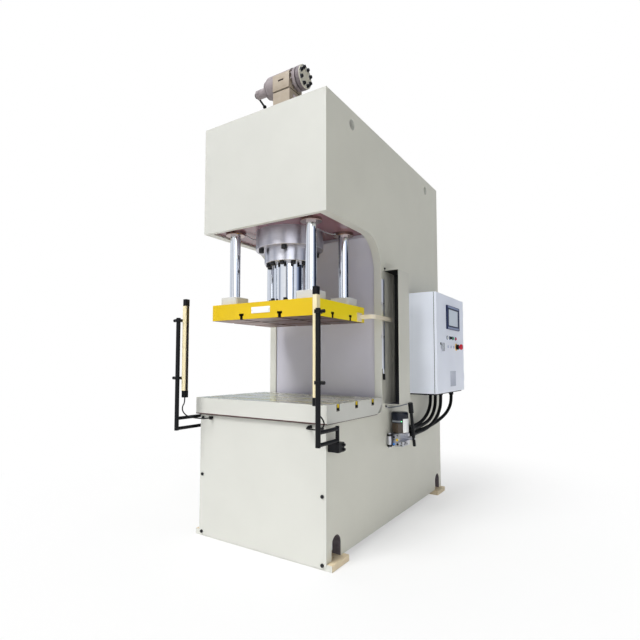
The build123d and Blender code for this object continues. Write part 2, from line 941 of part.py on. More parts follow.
def pump_body():
    """The cast pump: turned drum and neck, square block, ribbed waist, disc and pedestal."""
    half = pump_block_half_width
    joint = pump_z - pump_joint_drop
    left = pump_block_left
    right = pump_block_right
    casting = block(left, right, pump_y - half, pump_y + half, joint, pump_z + pump_block_top)
    top_edges = casting.edges().filter_by(Axis.X).group_by(Axis.Z)[-1]
    casting = chamfer(top_edges, pump_block_chamfer)
    axis = Pos(0, pump_y, pump_z)
    casting += axis * pump_drum()
    casting += axis * along_x(2 * pump_waist_radius, right - 1, pump_cap_left, 0, 0)
    disc_right = pump_disc_left + pump_disc_thickness
    casting += axis * along_x(2 * pump_disc_radius, pump_disc_left, disc_right, 0, 0)
    for rib in pump_ribs():
        casting += axis * rib
    casting += pump_pedestal(joint)
    groove_top = joint + pump_groove_height
    for side in (-1, 1):
        face_y = pump_y + side * half
        y0 = face_y - pump_groove_depth
        y1 = face_y + pump_groove_depth
        casting -= block(left - 1, right + 1, y0, y1, joint, groove_top)
    slot_x = (left + right - pump_slot_length) / 2
    slot_y = pump_y - half
    slot_z = pump_z - pump_slot_drop
    casting -= block(
        slot_x,
        slot_x + pump_slot_length,
        slot_y - 1,
        slot_y + pump_slot_depth,
        slot_z,
        slot_z + pump_slot_height,
    )
    for y, z in cap_screw_places():
        casting -= cap_room(y, z)
    pin_room = lever_pin + 2 * seat_fit
    return casting - along_x(pin_room, pump_neck_left - 1, pump_neck_left + lever_pin_depth, pump_y, pump_z)


def pump_ribs():
    """The ribs round the waist, between the block and the disc."""
    half = pump_rib_thickness / 2
    reach = pump_disc_radius - pump_rib_margin
    rib = block(pump_block_right - 1, pump_disc_left + 1, -half, half, 0, reach)
    return [Rot(360 * (k + 0.5) / pump_rib_count, 0, 0) * rib for k in range(pump_rib_count)]


def pump_drum():
    """The turned body of the pump: neck, flange and a drum that widens in a round shoulder."""
    flange_end = pump_drum_left + pump_drum_flange_width
    shoulder_end = flange_end + pump_shoulder_end
    with BuildSketch(Plane.XZ) as profile:
        with BuildLine():
            Polyline(
                (pump_block_right, 0),
                (pump_neck_left, 0),
                (pump_neck_left, pump_neck_radius),
                (pump_drum_left, pump_neck_radius),
                (pump_drum_left, pump_drum_flange),
                (flange_end, pump_drum_flange),
                (flange_end, pump_drum_shoulder),
            )
            EllipticalCenterArc(
                (shoulder_end, pump_drum_shoulder),
                shoulder_end - flange_end,
                pump_drum_radius - pump_drum_shoulder,
                start_angle=90,
                arc_size=90,
            )
            Polyline(
                (shoulder_end, pump_drum_radius),
                (pump_block_right, pump_drum_radius),
                (pump_block_right, 0),
            )
        make_face()
    return revolve(profile.sketch, Axis.X)


def pump_pedestal(joint):
    """The lower half of the pump's block with its foot and the gussets on both sides."""
    half = pump_block_half_width
    left = pump_block_left
    right = pump_block_right
    stand = block(left, right, pump_y - half, pump_y + half, frame_height, joint)
    margin = pedestal_margin
    foot = block(
        left - margin,
        right + margin,
        pump_y - half - margin,
        pump_y + half + margin,
        frame_height,
        frame_height + pedestal_foot,
    )
    stand += fillet(foot.edges().filter_by(Axis.Z), pedestal_corner)
    top = joint - gusset_drop
    low = frame_height + pedestal_foot
    outline = Polyline(
        (left - gusset_left, frame_height),
        (right + gusset_right, frame_height),
        (right + gusset_right, low),
        (right, top),
        (left, top),
        (left - gusset_left, low),
        close=True,
    )
    face = make_face(Plane.XZ * outline)
    gusset = extrude(face, half / 2, both=True)
    return stand + Pos(0, pump_y, 0) * gusset


def pump_cap():
    """The thick round end cap of the pump with its counterbored centre."""
    cap = along_x(2 * pump_cap_radius, pump_cap_left, pump_cap_right, pump_y, pump_z)
    cap = fillet(cap.edges().group_by(Axis.X)[-1], pump_cap_round)
    recess = pump_cap_right - pump_cap_recess
    recess_diameter = pump_screw_circle - pump_cap_recess_margin
    cap -= along_x(recess_diameter, recess, pump_cap_right + 1, pump_y, pump_z)
    for y, z in cap_screw_places():
        cap -= cap_room(y, z)
    return cap


def pump_lever():
    """The displacement lever on the end of the pump's neck, drawn straight back and then lowered."""
    x1 = pump_neck_left - device_gap
    x0 = x1 - lever_hub_width
    x = (x0 + x1) / 2
    lever = along_x(lever_hub, x0, x1, 0, 0)
    lever += along_x(lever_pin, x1 - 1, pump_neck_left + lever_pin_depth - 1, 0, 0)
    lever += along_y(lever_bar, 0, lever_length, x, 0)
    lever += Pos(x, lever_length, 0) * Sphere(lever_ball / 2)
    return Pos(0, pump_y, pump_z) * Rot(-lever_droop, 0, 0) * lever


def cabinet_box():
    """The open sheet box of the cabinet, with its mounting rails and the fixed halves of the hinges."""
    y0 = cabinet_y
    y1 = cabinet_rear
    z0 = cabinet_bottom
    z1 = cabinet_bottom + cabinet_height
    t = cabinet_sheet
    rim = cabinet_rim
    box = block(cabinet_back, cabinet_face, y0, y1, z0, z1)
    box -= block(cabinet_back + t, cabinet_face - t, y0 + t, y1 - t, z0 + t, z1 - t)
    inset = t + rim
    box -= block(cabinet_face - t - 1, cabinet_face + 1, y0 + inset, y1 - inset, z0 + inset, z1 - inset)
    for rail_z in (z0 + rail_margin, z1 - rail_margin - rail_height):
        box += block(side_x, cabinet_back, y0 + rail_margin, y1 - rail_margin, rail_z, rail_z + rail_height)
    for x, y in conduit_exits():
        box -= upright(conduit_diameter, z0 - 1, z0 + t + 1, x, y)
    for z in hinge_heights():
        low = z - hinge_half
        leaf = block(hinge_x - hinge_leaf, hinge_x, y1, y1 + hinge_leaf_thickness, low, z)
        box += leaf + upright(hinge_barrel, low, z, hinge_x, hinge_y)
        box += upright(hinge_pin, low, z + hinge_half - hinge_pin_gap, hinge_x, hinge_y)
    return box


def hinge_heights():
    """The heights at which the two halves of each hinge meet."""
    low = cabinet_bottom + hinge_inset
    high = cabinet_bottom + cabinet_height - hinge_inset
    return (low, high)


def control_gear():
    """The mounting plate in the cabinet, with wiring ducts, a drive and controllers."""
    x0 = cabinet_back + cabinet_sheet
    face = x0 + gear_plate_thickness
    y0 = cabinet_y + gear_plate_margin
    y1 = cabinet_rear - gear_plate_margin
    z0 = cabinet_bottom + gear_plate_margin
    height = cabinet_height - 2 * gear_plate_margin
    gear = [block(x0, face, y0, y1, z0, z0 + height)]
    for level in duct_levels:
        low = z0 + level * height
        gear.append(block(face, face + duct_depth, y0 + duct_inset, y1 - duct_inset, low, low + duct_height))
    first = y0 + drive_inset
    low = z0 + drive_level * height
    gear.append(block(face, face + drive_depth, first, first + drive_width, low, low + drive_height))
    low = z0 + controller_level * height
    for k in range(controller_count):
        start = first + k * controller_pitch
        end = start + controller_width
        gear.append(block(face, face + controller_depth, start, end, low, low + controller_height))
    return gear


def door_place(along, up):
    """The Y and Z of a device on the door."""
    return (cabinet_y + along, cabinet_bottom + up)


def button_row():
    """The places of the three push buttons and the selector."""
    alongs = (white_along, selector_along, green_along, red_along)
    return [door_place(along, button_up) for along in alongs]


def cabinet_door():
    """The folded door with cut-outs for its devices and the moving halves of the hinges."""
    y0 = cabinet_y + door_inset
    y1 = cabinet_rear - door_inset
    z0 = cabinet_bottom + door_inset
    z1 = cabinet_bottom + cabinet_height - door_inset
    t = door_sheet
    skin = door_face - t - 1
    door = block(door_back, door_face, y0, y1, z0, z1)
    door = fillet(door.edges().group_by(Axis.X)[-1], door_round)
    door -= block(door_back - 1, door_face - t, y0 + t, y1 - t, z0 + t, z1 - t)
    y, z = door_place(display_along, display_up)
    half_y = display_width / 2 - display_side_border + seat_fit
    half_z = display_height / 2 - display_border + seat_fit
    door -= block(skin, door_face + 1, y - half_y, y + half_y, z - half_z, z + half_z)
    for y, z in button_row():
        door -= along_x(button_neck + 2 * seat_fit, skin, door_face + 1, y, z)
    y, z = door_place(stop_along, stop_up)
    door -= along_x(stop_neck + 2 * seat_fit, skin, door_face + 1, y, z)
    y, z = door_place(latch_along, latch_up)
    door -= along_x(latch_shaft + 2 * seat_fit, skin, door_face + 1, y, z)
    for z in hinge_heights():
        low = z + device_gap
        high = z + hinge_half
        barrel = upright(hinge_barrel, low, high, hinge_x, hinge_y)
        barrel += block(hinge_x - t, hinge_x + t, y1 - 1, hinge_y, low, high)
        door += barrel - upright(hinge_pin + 2 * seat_fit, low - 1, high + 1, hinge_x, hinge_y)
    return door


def display_unit():
    """The operator display: bezel, recessed screen and the housing behind the door."""
    y, z = door_place(display_along, display_up)
    half_y = display_width / 2
    half_z = display_height / 2
    face = door_face + display_proud
    bezel = block(door_face, face, y - half_y, y + half_y, z - half_z, z + half_z)
    bezel = fillet(bezel.edges().filter_by(Axis.X), display_corner)
    bezel = chamfer(bezel.edges().group_by(Axis.X)[-1], display_edge)
    y0 = y - half_y + display_side_border
    y1 = y + half_y - display_side_border
    z0 = z - half_z + display_border
    z1 = z + half_z - display_border
    bezel -= block(face - display_recess, face + 1, y0, y1, z0, z1)
    return bezel + block(door_face - display_depth, door_face, y0, y1, z0, z1)


def button_bases():
    """The rings and switch bodies of the push buttons and the selector."""
    bases = []
    for y, z in button_row():
        front = door_face + button_proud
        back = door_face - button_reach
        ring_part = along_x(button_ring, door_face, front, y, z)
        base = chamfer(ring_part.edges().group_by(Axis.X)[-1], 1)
        base += along_x(button_neck, back, door_face, y, z)
        base -= along_x(button_cap + 2 * device_gap, door_face, front + 1, y, z)
        base -= along_x(button_stem + 2 * device_gap, back + button_floor, door_face + 1, y, z)
        bases.append(base)
    return bases


def push_button(along):
    """A button's cap with its stem."""
    y, z = door_place(along, button_up)
    seat = door_face + button_travel + device_gap
    cap = along_x(button_cap, seat, seat + button_proud, y, z)
    cap = fillet(cap.edges().group_by(Axis.X)[-1], button_round)
    tail = door_face - button_reach + button_floor + button_travel + device_gap
    return cap + along_x(button_stem, tail, seat, y, z)


def selector_switch():
    """The selector's knob with its finger bar and stem."""
    y, z = door_place(selector_along, button_up)
    seat = door_face + device_gap
    face = door_face + knob_rise
    knob = along_x(button_cap, seat, face, y, z)
    half_y = knob_bar / 2
    half_z = button_cap / 2 - 1
    bar = block(face - 1, face + knob_bar_rise, y - half_y, y + half_y, z - half_z, z + half_z)
    knob += fillet(bar.edges().filter_by(Axis.X), button_round)
    tail = door_face - button_reach + button_floor + device_gap
    return knob + along_x(button_stem, tail, seat, y, z)


def emergency_stop_ring():
    """The yellow plate round the emergency stop."""
    y, z = door_place(stop_along, stop_up)
    plate = along_x(stop_ring, door_face, door_face + stop_ring_thickness, y, z)
    plate -= along_x(stop_neck + 2 * seat_fit, door_face - 1, door_face + stop_ring_thickness + 1, y, z)
    return plate


def emergency_stop_base():
    """The body of the emergency stop, through the ring and the door."""
    y, z = door_place(stop_along, stop_up)
    seat = door_face + stop_ring_thickness
    top = seat + stop_body_height
    back = door_face - button_reach
    collar = along_x(stop_body, seat, top, y, z)
    base = chamfer(collar.edges().group_by(Axis.X)[-1], stop_body_chamfer)
    base += along_x(stop_neck, back, seat, y, z)
    return base - along_x(stop_stem + 2 * device_gap, back + button_floor, top + 1, y, z)


def emergency_stop_head():
    """The red mushroom with its stem."""
    y, z = door_place(stop_along, stop_up)
    under = door_face + stop_ring_thickness + stop_body_height + stop_travel + stop_head_gap
    head = along_x(stop_head, under, under + stop_head_height, y, z)
    head = fillet(head.edges().group_by(Axis.X)[-1], stop_head_height * 0.45)
    head = fillet(head.edges().group_by(Axis.X)[0], stop_head_edge)
    tail = door_face - button_reach + button_floor + stop_travel + device_gap
    return head + along_x(stop_stem, tail, under + 1, y, z)


def door_latch():
    """The quarter-turn latch, with its handle down and its tongue up, free of the cabinet's rim."""
    y, z = door_place(latch_along, latch_up)
    seat = door_face + device_gap
    top = seat + latch_rose_height
    latch = along_x(latch_rose, seat, top, y, z)
    half = latch_handle_width / 2
    end = top + latch_handle_thickness
    handle = block(top - 1, end, y - half, y + half, z - latch_handle_below, z + latch_handle_above)
    handle = fillet(handle.edges().filter_by(Axis.X), latch_handle_round)
    latch += chamfer(handle.edges().group_by(Axis.X)[-1], 1)
    tongue_face = cabinet_face - cabinet_sheet - latch_tongue_gap
    tongue_back = tongue_face - cabinet_sheet
    latch += along_x(latch_shaft, tongue_back, seat + 1, y, z)
    w = latch_tongue_width / 2
    tongue = block(tongue_back, tongue_face, y - w, y + w, z - w, z + latch_tongue)
    return latch + fillet(tongue.edges().filter_by(Axis.X), latch_tongue_round)


def conduit_exits():
    """Where the conduits leave the bottom of the cabinet."""
    places = zip(conduit_exit_reach, conduit_exit_setbacks)
    return [(side_x + reach, front_y + setback) for reach, setback in places]


def conduit_entries():
    """Where the conduits start at the elbows on the side plate."""
    rise = conduit_nut / 2 + 1
    places = zip(conduit_entry_reach, conduit_entry_setbacks, conduit_entry_heights)
    return [(side_x + reach, front_y + setback + rise, z) for reach, setback, z in places]


def cable_glands():
    """The gland plate and nuts under the cabinet, the elbows on the side plate and the nuts on the cover."""
    m = gland_plate_margin
    plate_low = cabinet_bottom - gland_plate
    y0 = cabinet_y + m
    plate = block(cabinet_back + m, cabinet_face - m, y0, cabinet_rear - m, plate_low, cabinet_bottom)
    for x, y in conduit_exits():
        plate -= upright(conduit_diameter, plate_low - 1, cabinet_bottom + 1, x, y)
    glands = [plate]
    for x, y in conduit_exits():
        nut = extrude(RegularPolygon(conduit_nut / 2, 6), -conduit_nut_height)
        neck = upright(conduit_diameter - 2 * seat_fit, 0, gland_plate + cabinet_sheet)
        glands.append(Pos(x, y, plate_low) * (nut + neck))
    for x, y, z in conduit_entries():
        middle = y - conduit_nut / 2 - 1
        elbow = along_x(conduit_nut, side_x, x, middle, z) + along_y(conduit_nut, middle, y, x, z)
        elbow += Pos(x, middle, z) * Sphere(conduit_nut / 2)
        elbow += along_x(conduit_diameter - 2 * seat_fit, side_x - side_thickness / 2, side_x, middle, z)
        glands.append(elbow)
    for side in (-1, 1):
        nut = extrude(RegularPolygon(lead_nut / 2, 6), lead_nut_height)
        neck = upright(lead_diameter - 2 * seat_fit, -cover_sheet, 0)
        place = Pos(side * lead_entry_x, cover_face, lead_entry_height())
        glands.append(place * Rot(90, 0, 0) * (nut + neck))
    return glands


def cord_tube(name, points, diameter):
    """A cord along straight runs joined by arcs as large as the runs allow."""
    spots = [Vector(*p) for p in points]
    radii = []
    for a, b, c in zip(spots, spots[1:], spots[2:]):
        turn = math.radians((b - a).get_angle(c - b))
        shorter = min((b - a).length, (c - b).length)
        radii.append(0.45 * shorter / math.tan(turn / 2))
    path = FilletPolyline(*points, radius=radii)
    tube = sweep(Plane(origin=path @ 0, z_dir=path % 0) * Circle(diameter / 2), path=path)
    runs = [round((b - a).length) for a, b in zip(spots, spots[1:])]
    share = tube.volume / (math.pi * diameter**2 / 4 * path.length)
    print(name, "length", round(path.length), "runs", runs, "radii", [round(r) for r in radii])
    print("    volume share", round(share, 4))
    return tube


def conduit(number, middle):
    """One conduit from its elbow to its nut under the cabinet."""
    x, y = conduit_exits()[number]
    end = (x, y, cabinet_bottom - gland_plate - conduit_nut_height)
    return cord_tube(f"conduit {number}", [conduit_entries()[number], *middle, end], conduit_diameter)


def curtain_lead(side, middle):
    """The lead from a light bar's lower end to its nut on the front cover."""
    start = (side * light_bar_x, light_bar_y, light_bar_bottom)
    end = (side * lead_entry_x, cover_face - lead_nut_height, lead_entry_height())
    return cord_tube(f"lead {side}", [start, *middle, end], lead_diameter)


def lubricator_body():
    """The lubricator's wall plate, stepped manifold, reservoir and fittings, with the boss of its lever."""
    y0 = lubricator_y
    y1 = y0 + lubricator_length
    z0 = lubricator_bottom
    z1 = lubricator_top
    plate = block(side_x, side_x + lubricator_plate, y0, y1, z0, z1)
    body = fillet(plate.edges().filter_by(Axis.X), lubricator_plate_round)
    front = y0 + manifold_front
    main = block(side_x + 1, manifold_face, front, y1, z0, z1)
    main = chamfer(main.edges().group_by(Axis.X)[-1], manifold_chamfer)
    step_top = z0 + manifold_step_height
    main -= block(manifold_face - manifold_step, manifold_face + 1, y0, y1 - manifold_step, step_top, z1 + 1)
    body += main
    reservoir_x = side_x + reservoir_reach
    body += upright(reservoir_diameter, z0, z1, reservoir_x, y0)
    for low in (z0 - reservoir_end_height, z1):
        body += upright(reservoir_end, low, low + reservoir_end_height, reservoir_x, y0)
    for x, z in fitting_places():
        body += along_y(fitting_diameter, front - fitting_length, front + 1, x, z)
    body += upright(bowl_seat, z1 - 1, bowl_base, lubricator_axis_x, lubricator_axis_y)
    pin_y = front_y + handle_pin_setback
    lever_back = side_x + handle_reach - handle_bar / 2 - device_gap
    body += along_x(handle_boss, manifold_face - manifold_step - 1, lever_back, pin_y, handle_pin_height)
    pin_end = side_x + handle_reach + handle_bar / 2
    return body + along_x(handle_pin, lever_back - 1, pin_end, pin_y, handle_pin_height)


def fitting_places():
    """The X and Z of the fittings on the front of the manifold, two low and one high."""
    step = 1.5 * fitting_diameter
    low = lubricator_bottom + fitting_diameter
    high = lubricator_top - fitting_diameter
    x = side_x + reservoir_reach + reservoir_diameter
    return [(x, low), (x + step, low), (x, high)]


def lubricator_bowl():
    """The clear bowl of the lubricator, open at the top under its cap."""
    top = bowl_base + bowl_height
    bowl = upright(bowl_diameter, bowl_base, top, lubricator_axis_x, lubricator_axis_y)
    bowl = fillet(bowl.edges().group_by(Axis.Z)[0], bowl_round)
    inner = bowl_diameter - 2 * bowl_wall
    return bowl - upright(inner, bowl_base + bowl_wall, top + 1, lubricator_axis_x, lubricator_axis_y)


def lubricator_cap():
    """The tall cap of the lubricator with its rounded top."""
    z0 = bowl_base + bowl_height
    cap = upright(lubricator_cap_diameter, z0, z0 + cap_height, lubricator_axis_x, lubricator_axis_y)
    return fillet(cap.edges().group_by(Axis.Z)[-1], cap_dome)


def lubricator_lever():
    """The hand lever of the lubricator: a round bar with a thick grip, leaning forward at the top."""
    grip_low = handle_above - handle_grip_length
    lever = upright(handle_bar, -handle_below, grip_low + 1)
    grip = upright(handle_grip, grip_low, handle_above)
    lever += chamfer(grip.edges().group_by(Axis.Z)[0], handle_grip_taper)
    lever = fillet(lever.edges().group_by(Axis.Z)[-1], handle_grip_taper)
    half = handle_bar / 2
    lever -= along_x(handle_pin + 2 * seat_fit, -half - 1, half + 1, 0, 0)
    lever -= along_x(handle_hole, -half - 1, half + 1, 0, handle_hole_up - handle_below)
    place = Pos(side_x + handle_reach, front_y + handle_pin_setback, handle_pin_height)
    return place * Rot(handle_lean, 0, 0) * lever


def on_side(shape, side):
    """A piece drawn on the right, kept there or moved to the left."""
    return shape if side > 0 else left_of(shape)


def curtain_stand(side):
    """A stand: a post on two arms that meet in a leg."""
    leg_y = stand_leg_y[side]
    stand = upright(stand_tube, stand_bottom, stand_top, stand_x, stand_y)
    for z in (arm_tube_high, stand_bottom + arm_tube / 2):
        stand += along_y(arm_tube, stand_y, leg_y, stand_x, z)
    stand += upright(arm_tube, stand_leg_bottom, arm_tube_high + arm_tube * 0.7, stand_x, leg_y)
    return on_side(stand, side)


def stand_block(side):
    """The block on the side plate that holds the stand's leg."""
    leg_y = stand_leg_y[side]
    y0 = leg_y - stand_block_lead
    z1 = stand_block_bottom + stand_block_height
    x1 = side_x + stand_block_reach
    holder = block(side_x, x1, y0, y0 + stand_block_length, stand_block_bottom, z1)
    holder = fillet(holder.edges().filter_by(Axis.Z).group_by(Axis.X)[-1], stand_block_round)
    holder -= upright(arm_tube + 2 * seat_fit, stand_leg_bottom - seat_fit, z1 + 1, stand_x, leg_y)
    for y, z in stand_screw_places(side):
        holder -= along_x(stand_screw[2] + screw_fit, side_x - 1, x1 + 1, y, z)
    return on_side(holder, side)


def light_bar():
    """The right light bar between its end caps, with the sensing window towards the middle."""
    x0 = light_bar_x - light_bar_width / 2
    x1 = light_bar_x + light_bar_width / 2
    half = light_bar_thickness / 2
    z0 = light_bar_bottom + light_bar_cap
    z1 = light_bar_top - light_bar_cap
    bar = block(x0, x1, light_bar_y - half, light_bar_y + half, z0, z1)
    bar = fillet(bar.edges().filter_by(Axis.Z).group_by(Axis.X)[0], light_bar_round)
    window = light_bar_window / 2
    inside = x0 + light_bar_window_depth
    bar -= block(x0 - 1, inside, light_bar_y - window, light_bar_y + window, z0 - 1, z1 + 1)
    return bar


def light_bar_caps():
    """The end caps of the right light bar."""
    x0 = light_bar_x - light_bar_width / 2 - 1
    x1 = light_bar_x + light_bar_width / 2
    half = light_bar_thickness / 2 + 1
    caps = []
    for z0 in (light_bar_bottom, light_bar_top - light_bar_cap):
        cap = block(x0, x1, light_bar_y - half, light_bar_y + half, z0, z0 + light_bar_cap)
        caps.append(fillet(cap.edges().filter_by(Axis.Z), light_bar_round))
    return caps


def curtain_clamps():
    """The two clamps that hold the right light bar to its post."""
    bar_side = light_bar_x + light_bar_width / 2
    half = clamp_height / 2
    clamps = []
    for z in clamp_heights:
        clamp = upright(clamp_collar, z - half, z + half, stand_x, stand_y)
        clamp += block(bar_side, stand_x, stand_y, light_bar_y + half, z - half, z + half)
        boss_end = stand_x + knob_reach
        clamp += along_x(clamp_height, stand_x, boss_end, stand_y, z)
        clamp -= upright(stand_tube + 2 * seat_fit, z - half - 1, z + half + 1, stand_x, stand_y)
        clamp -= along_x(knob_shank + 2 * seat_fit, stand_x, boss_end + 1, stand_y, z)
        clamps.append(clamp)
    return clamps


def clamp_knobs():
    """The thumb screws of the right clamps."""
    knobs = []
    for z in clamp_heights:
        x0 = stand_x + stand_tube / 2 + device_gap
        x1 = stand_x + knob_reach + device_gap
        head = along_x(knob_diameter, x1, x1 + knob_length, stand_y, z)
        head = fillet(head.edges().group_by(Axis.X)[-1], knob_round)
        knobs.append(head + along_x(knob_shank, x0, x1 + 1, stand_y, z))
    return knobs


def both_sides(pieces):
    """Pieces of the right side with their mirror images."""
    return [*pieces, *[left_of(piece) for piece in pieces]]


conduit_routes = [
    [
        (512, 310, 650),
        (514, 440, 668),
        (519, 525, 699),
        (524, 578, 737),
        (528, 606, 776),
        (530, 620, 822),
    ],
    [
        (512, 310, 608),
        (528, 440, 612),
        (556, 560, 632),
        (588, 660, 666),
        (620, 738, 712),
        (640, 778, 764),
        (650, 794, 819),
    ],
    [
        (554, 280, 650),
        (558, 420, 664),
        (564, 515, 692),
        (568, 568, 731),
        (571, 600, 775),
        (572, 615, 824),
    ],
    [
        (554, 280, 608),
        (562, 420, 620),
        (574, 530, 650),
        (586, 602, 694),
        (594, 645, 744),
        (600, 668, 800),
    ],
]
lead_right = [
    (497, -1168, 869),
    (526, -1160, 846),
    (538, -1148, 812),
    (514, -1134, 782),
    (470, -1122, 772),
    (424, -1110, 770),
    (380, -1094, 770),
]
lead_left = [(-x, y, z) for x, y, z in lead_right]

nodes = {
    "side_plate_left": side_plate(-1),
    "side_plate_right": side_plate(1),
    "head_front_plate": head_front_plate(),
    "head_top_plate": head_top_plate(),
    "back_plate": back_plate(),
    "cylinder_plate": cylinder_plate(),
    "throat_plate": throat_plate(),
    "bed_web": bed_web(),
    "bed_plate": bed_plate(),
    "foot_bars": foot_bars(),
    "front_cover": front_cover(),
    "cylinder_barrel": cylinder_barrel(),
    "cylinder_gland": cylinder_gland(),
    "rod_seal": rod_seal(),
    "guide_bushes": guide_bushes(),
    "return_pipe": return_pipe(),
    "frame_screws": frame_screws(),
    "slide_plate": slide_plate(),
    "piston_rod": piston_rod(),
    "piston_seal": piston_seal(),
    "rod_flange": rod_flange(),
    "rod_flange_screws": rod_flange_screws(),
    "guide_posts": guide_posts(),
    "post_blocks": post_blocks(),
    "sensor_arm": sensor_arm(),
    "sensor_rail": sensor_rail(),
    "sensor_guard": sensor_guard(),
    "pump_body": pump_body(),
    "pump_cap": pump_cap(),
    "pump_lever": pump_lever(),
    "cabinet_box": cabinet_box(),
    "control_gear": control_gear(),
    "cabinet_door": cabinet_door(),
    "display_unit": display_unit(),
    "button_bases": button_bases(),
    "button_white": push_button(white_along),
    "button_green": push_button(green_along),
    "button_red": push_button(red_along),
    "selector_switch": selector_switch(),
    "emergency_stop_ring": emergency_stop_ring(),
    "emergency_stop_base": emergency_stop_base(),
    "emergency_stop_head": emergency_stop_head(),
    "door_latch": door_latch(),
    "cable_glands": cable_glands(),
    "conduit_1": conduit(0, conduit_routes[0]),
    "conduit_2": conduit(1, conduit_routes[1]),
    "conduit_3": conduit(2, conduit_routes[2]),
    "conduit_4": conduit(3, conduit_routes[3]),
    "lubricator_body": lubricator_body(),
    "lubricator_bowl": lubricator_bowl(),
    "lubricator_cap": lubricator_cap(),
    "lubricator_lever": lubricator_lever(),
    "curtain_stands": [curtain_stand(1), curtain_stand(-1)],
    "stand_blocks": [stand_block(1), stand_block(-1)],
    "light_bars": both_sides([light_bar()]),
    "light_bar_caps": both_sides(light_bar_caps()),
    "curtain_clamps": both_sides(curtain_clamps()),
    "clamp_knobs": both_sides(clamp_knobs()),
    "curtain_lead_right": curtain_lead(1, lead_right),
    "curtain_lead_left": curtain_lead(-1, lead_left),
}

os.makedirs("parts", exist_ok=True)
for name, made in nodes.items():
    pieces = made if isinstance(made, list) else [made]
    solids = [solid for piece in pieces for solid in piece.solids()]
    export_step(Compound(solids), f"parts/{name}.step")
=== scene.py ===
"""The looks of a C-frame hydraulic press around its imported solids, in metres."""
import math

import bpy
from mathutils import Matrix, Vector


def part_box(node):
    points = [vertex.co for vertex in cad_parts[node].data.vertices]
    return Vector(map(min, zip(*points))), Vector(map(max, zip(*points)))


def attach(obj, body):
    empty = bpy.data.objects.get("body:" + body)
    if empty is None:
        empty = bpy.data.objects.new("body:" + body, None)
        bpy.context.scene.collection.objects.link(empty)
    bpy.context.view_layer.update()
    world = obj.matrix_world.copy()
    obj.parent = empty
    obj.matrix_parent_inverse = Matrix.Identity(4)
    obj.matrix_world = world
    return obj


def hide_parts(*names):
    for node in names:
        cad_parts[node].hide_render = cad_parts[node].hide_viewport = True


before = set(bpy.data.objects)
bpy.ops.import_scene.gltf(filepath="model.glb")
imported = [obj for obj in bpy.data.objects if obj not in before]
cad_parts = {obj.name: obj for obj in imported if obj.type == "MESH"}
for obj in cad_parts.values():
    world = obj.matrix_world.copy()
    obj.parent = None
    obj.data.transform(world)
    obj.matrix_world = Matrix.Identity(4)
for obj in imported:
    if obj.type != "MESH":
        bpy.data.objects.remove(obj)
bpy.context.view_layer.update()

# Main places of the press that materials and pieces share
BED_TOP = 0.900
BED_SLOTS_Y = (-0.931, -0.695, -0.459)
SLIDE_UNDERSIDE = 1.407
SLIDE_FRONT = -1.020
SIDE_X = 0.480
SIDE_INNER_X = 0.425
THROAT_Y = -0.248
FOOT_WINDOW_Y = 0.920
FOOT_WINDOW_HALF = 0.0545
FOOT_WINDOW_Z = (0.034, 0.1655)
GUARD_ROOM = {"X": (0.4835, 0.5902), "Y": (-0.2246, -0.0272), "Z": (0.8522, 1.7828)}
DOOR_X = 0.712
PUMP_Y = -0.875
PUMP_Z = 2.957
PUMP_PAD_REACH = 0.079
PUMP_BLOCK_X = (0.038, 0.166)
# left, right, lower and upper edge of the slot in the pump's front pad
PUMP_SLOT = (0.082, 0.122, 2.939, 2.949)
BOWL_X = 0.544
BOWL_Y = -0.103


# Camera at the photograph's viewing angle

def make_camera():
    """The camera solved from the photograph: its place, directions, focal length and frame shift."""
    place = (1.81176, -3.35366, 1.13625)
    yaw, pitch, roll = (math.radians(a) for a in (-34.98055, 3.60060, 0.27572))
    image, focal, middle = 640, 476.0157, (283.3399, 332.2283)
    forward = Vector((math.sin(yaw) * math.cos(pitch), math.cos(yaw) * math.cos(pitch), math.sin(pitch)))
    level = Vector((math.cos(yaw), -math.sin(yaw), 0))
    upright = level.cross(forward)
    right = level * math.cos(roll) + upright * math.sin(roll)
    up = upright * math.cos(roll) - level * math.sin(roll)
    data = bpy.data.cameras.new("camera")
    data.sensor_width = 36
    data.lens = focal / image * data.sensor_width
    data.shift_x = 0.5 - middle[0] / image
    data.shift_y = middle[1] / image - 0.5
    data.clip_end = 200
    camera = bpy.data.objects.new("camera", data)
    bpy.context.scene.collection.objects.link(camera)
    turn = Matrix((right, up, -forward)).transposed()
    camera.matrix_world = Matrix.Translation(place) @ turn.to_4x4()
    bpy.context.scene.camera = camera


# Material helpers

def linear(code):
    """An sRGB hex colour as the linear colour that a socket takes."""
    levels = [int(code[i:i + 2], 16) / 255 for i in (1, 3, 5)]
    return [c / 12.92 if c <= 0.04045 else ((c + 0.055) / 1.055) ** 2.4 for c in levels] + [1]


def socket_of(source):
    """The first output of a node; anything else, such as a socket or a number, as it is."""
    return source.outputs[0] if isinstance(source, bpy.types.Node) else source


def add(tree, kind, values=None, **settings):
    """A node with its settings, and its inputs set to values or linked to nodes or sockets."""
    node = tree.nodes.new("ShaderNode" + kind)
    for name, value in settings.items():
        setattr(node, name, value)
    for name, value in (values or {}).items():
        value = socket_of(value)
        if isinstance(value, bpy.types.NodeSocket):
            tree.links.new(value, node.inputs[name])
        else:
            node.inputs[name].default_value = value
    return node


def noise(tree, place, scale, detail, **more):
    """Cloudy noise over the place; the scale is in clouds per metre."""
    return add(tree, "TexNoise", {"Vector": place, "Scale": scale, "Detail": detail, **more})


def calculate(tree, operation, *values):
    """The result of an operation on values or sockets."""
    return add(tree, "Math", dict(enumerate(values)), operation=operation)


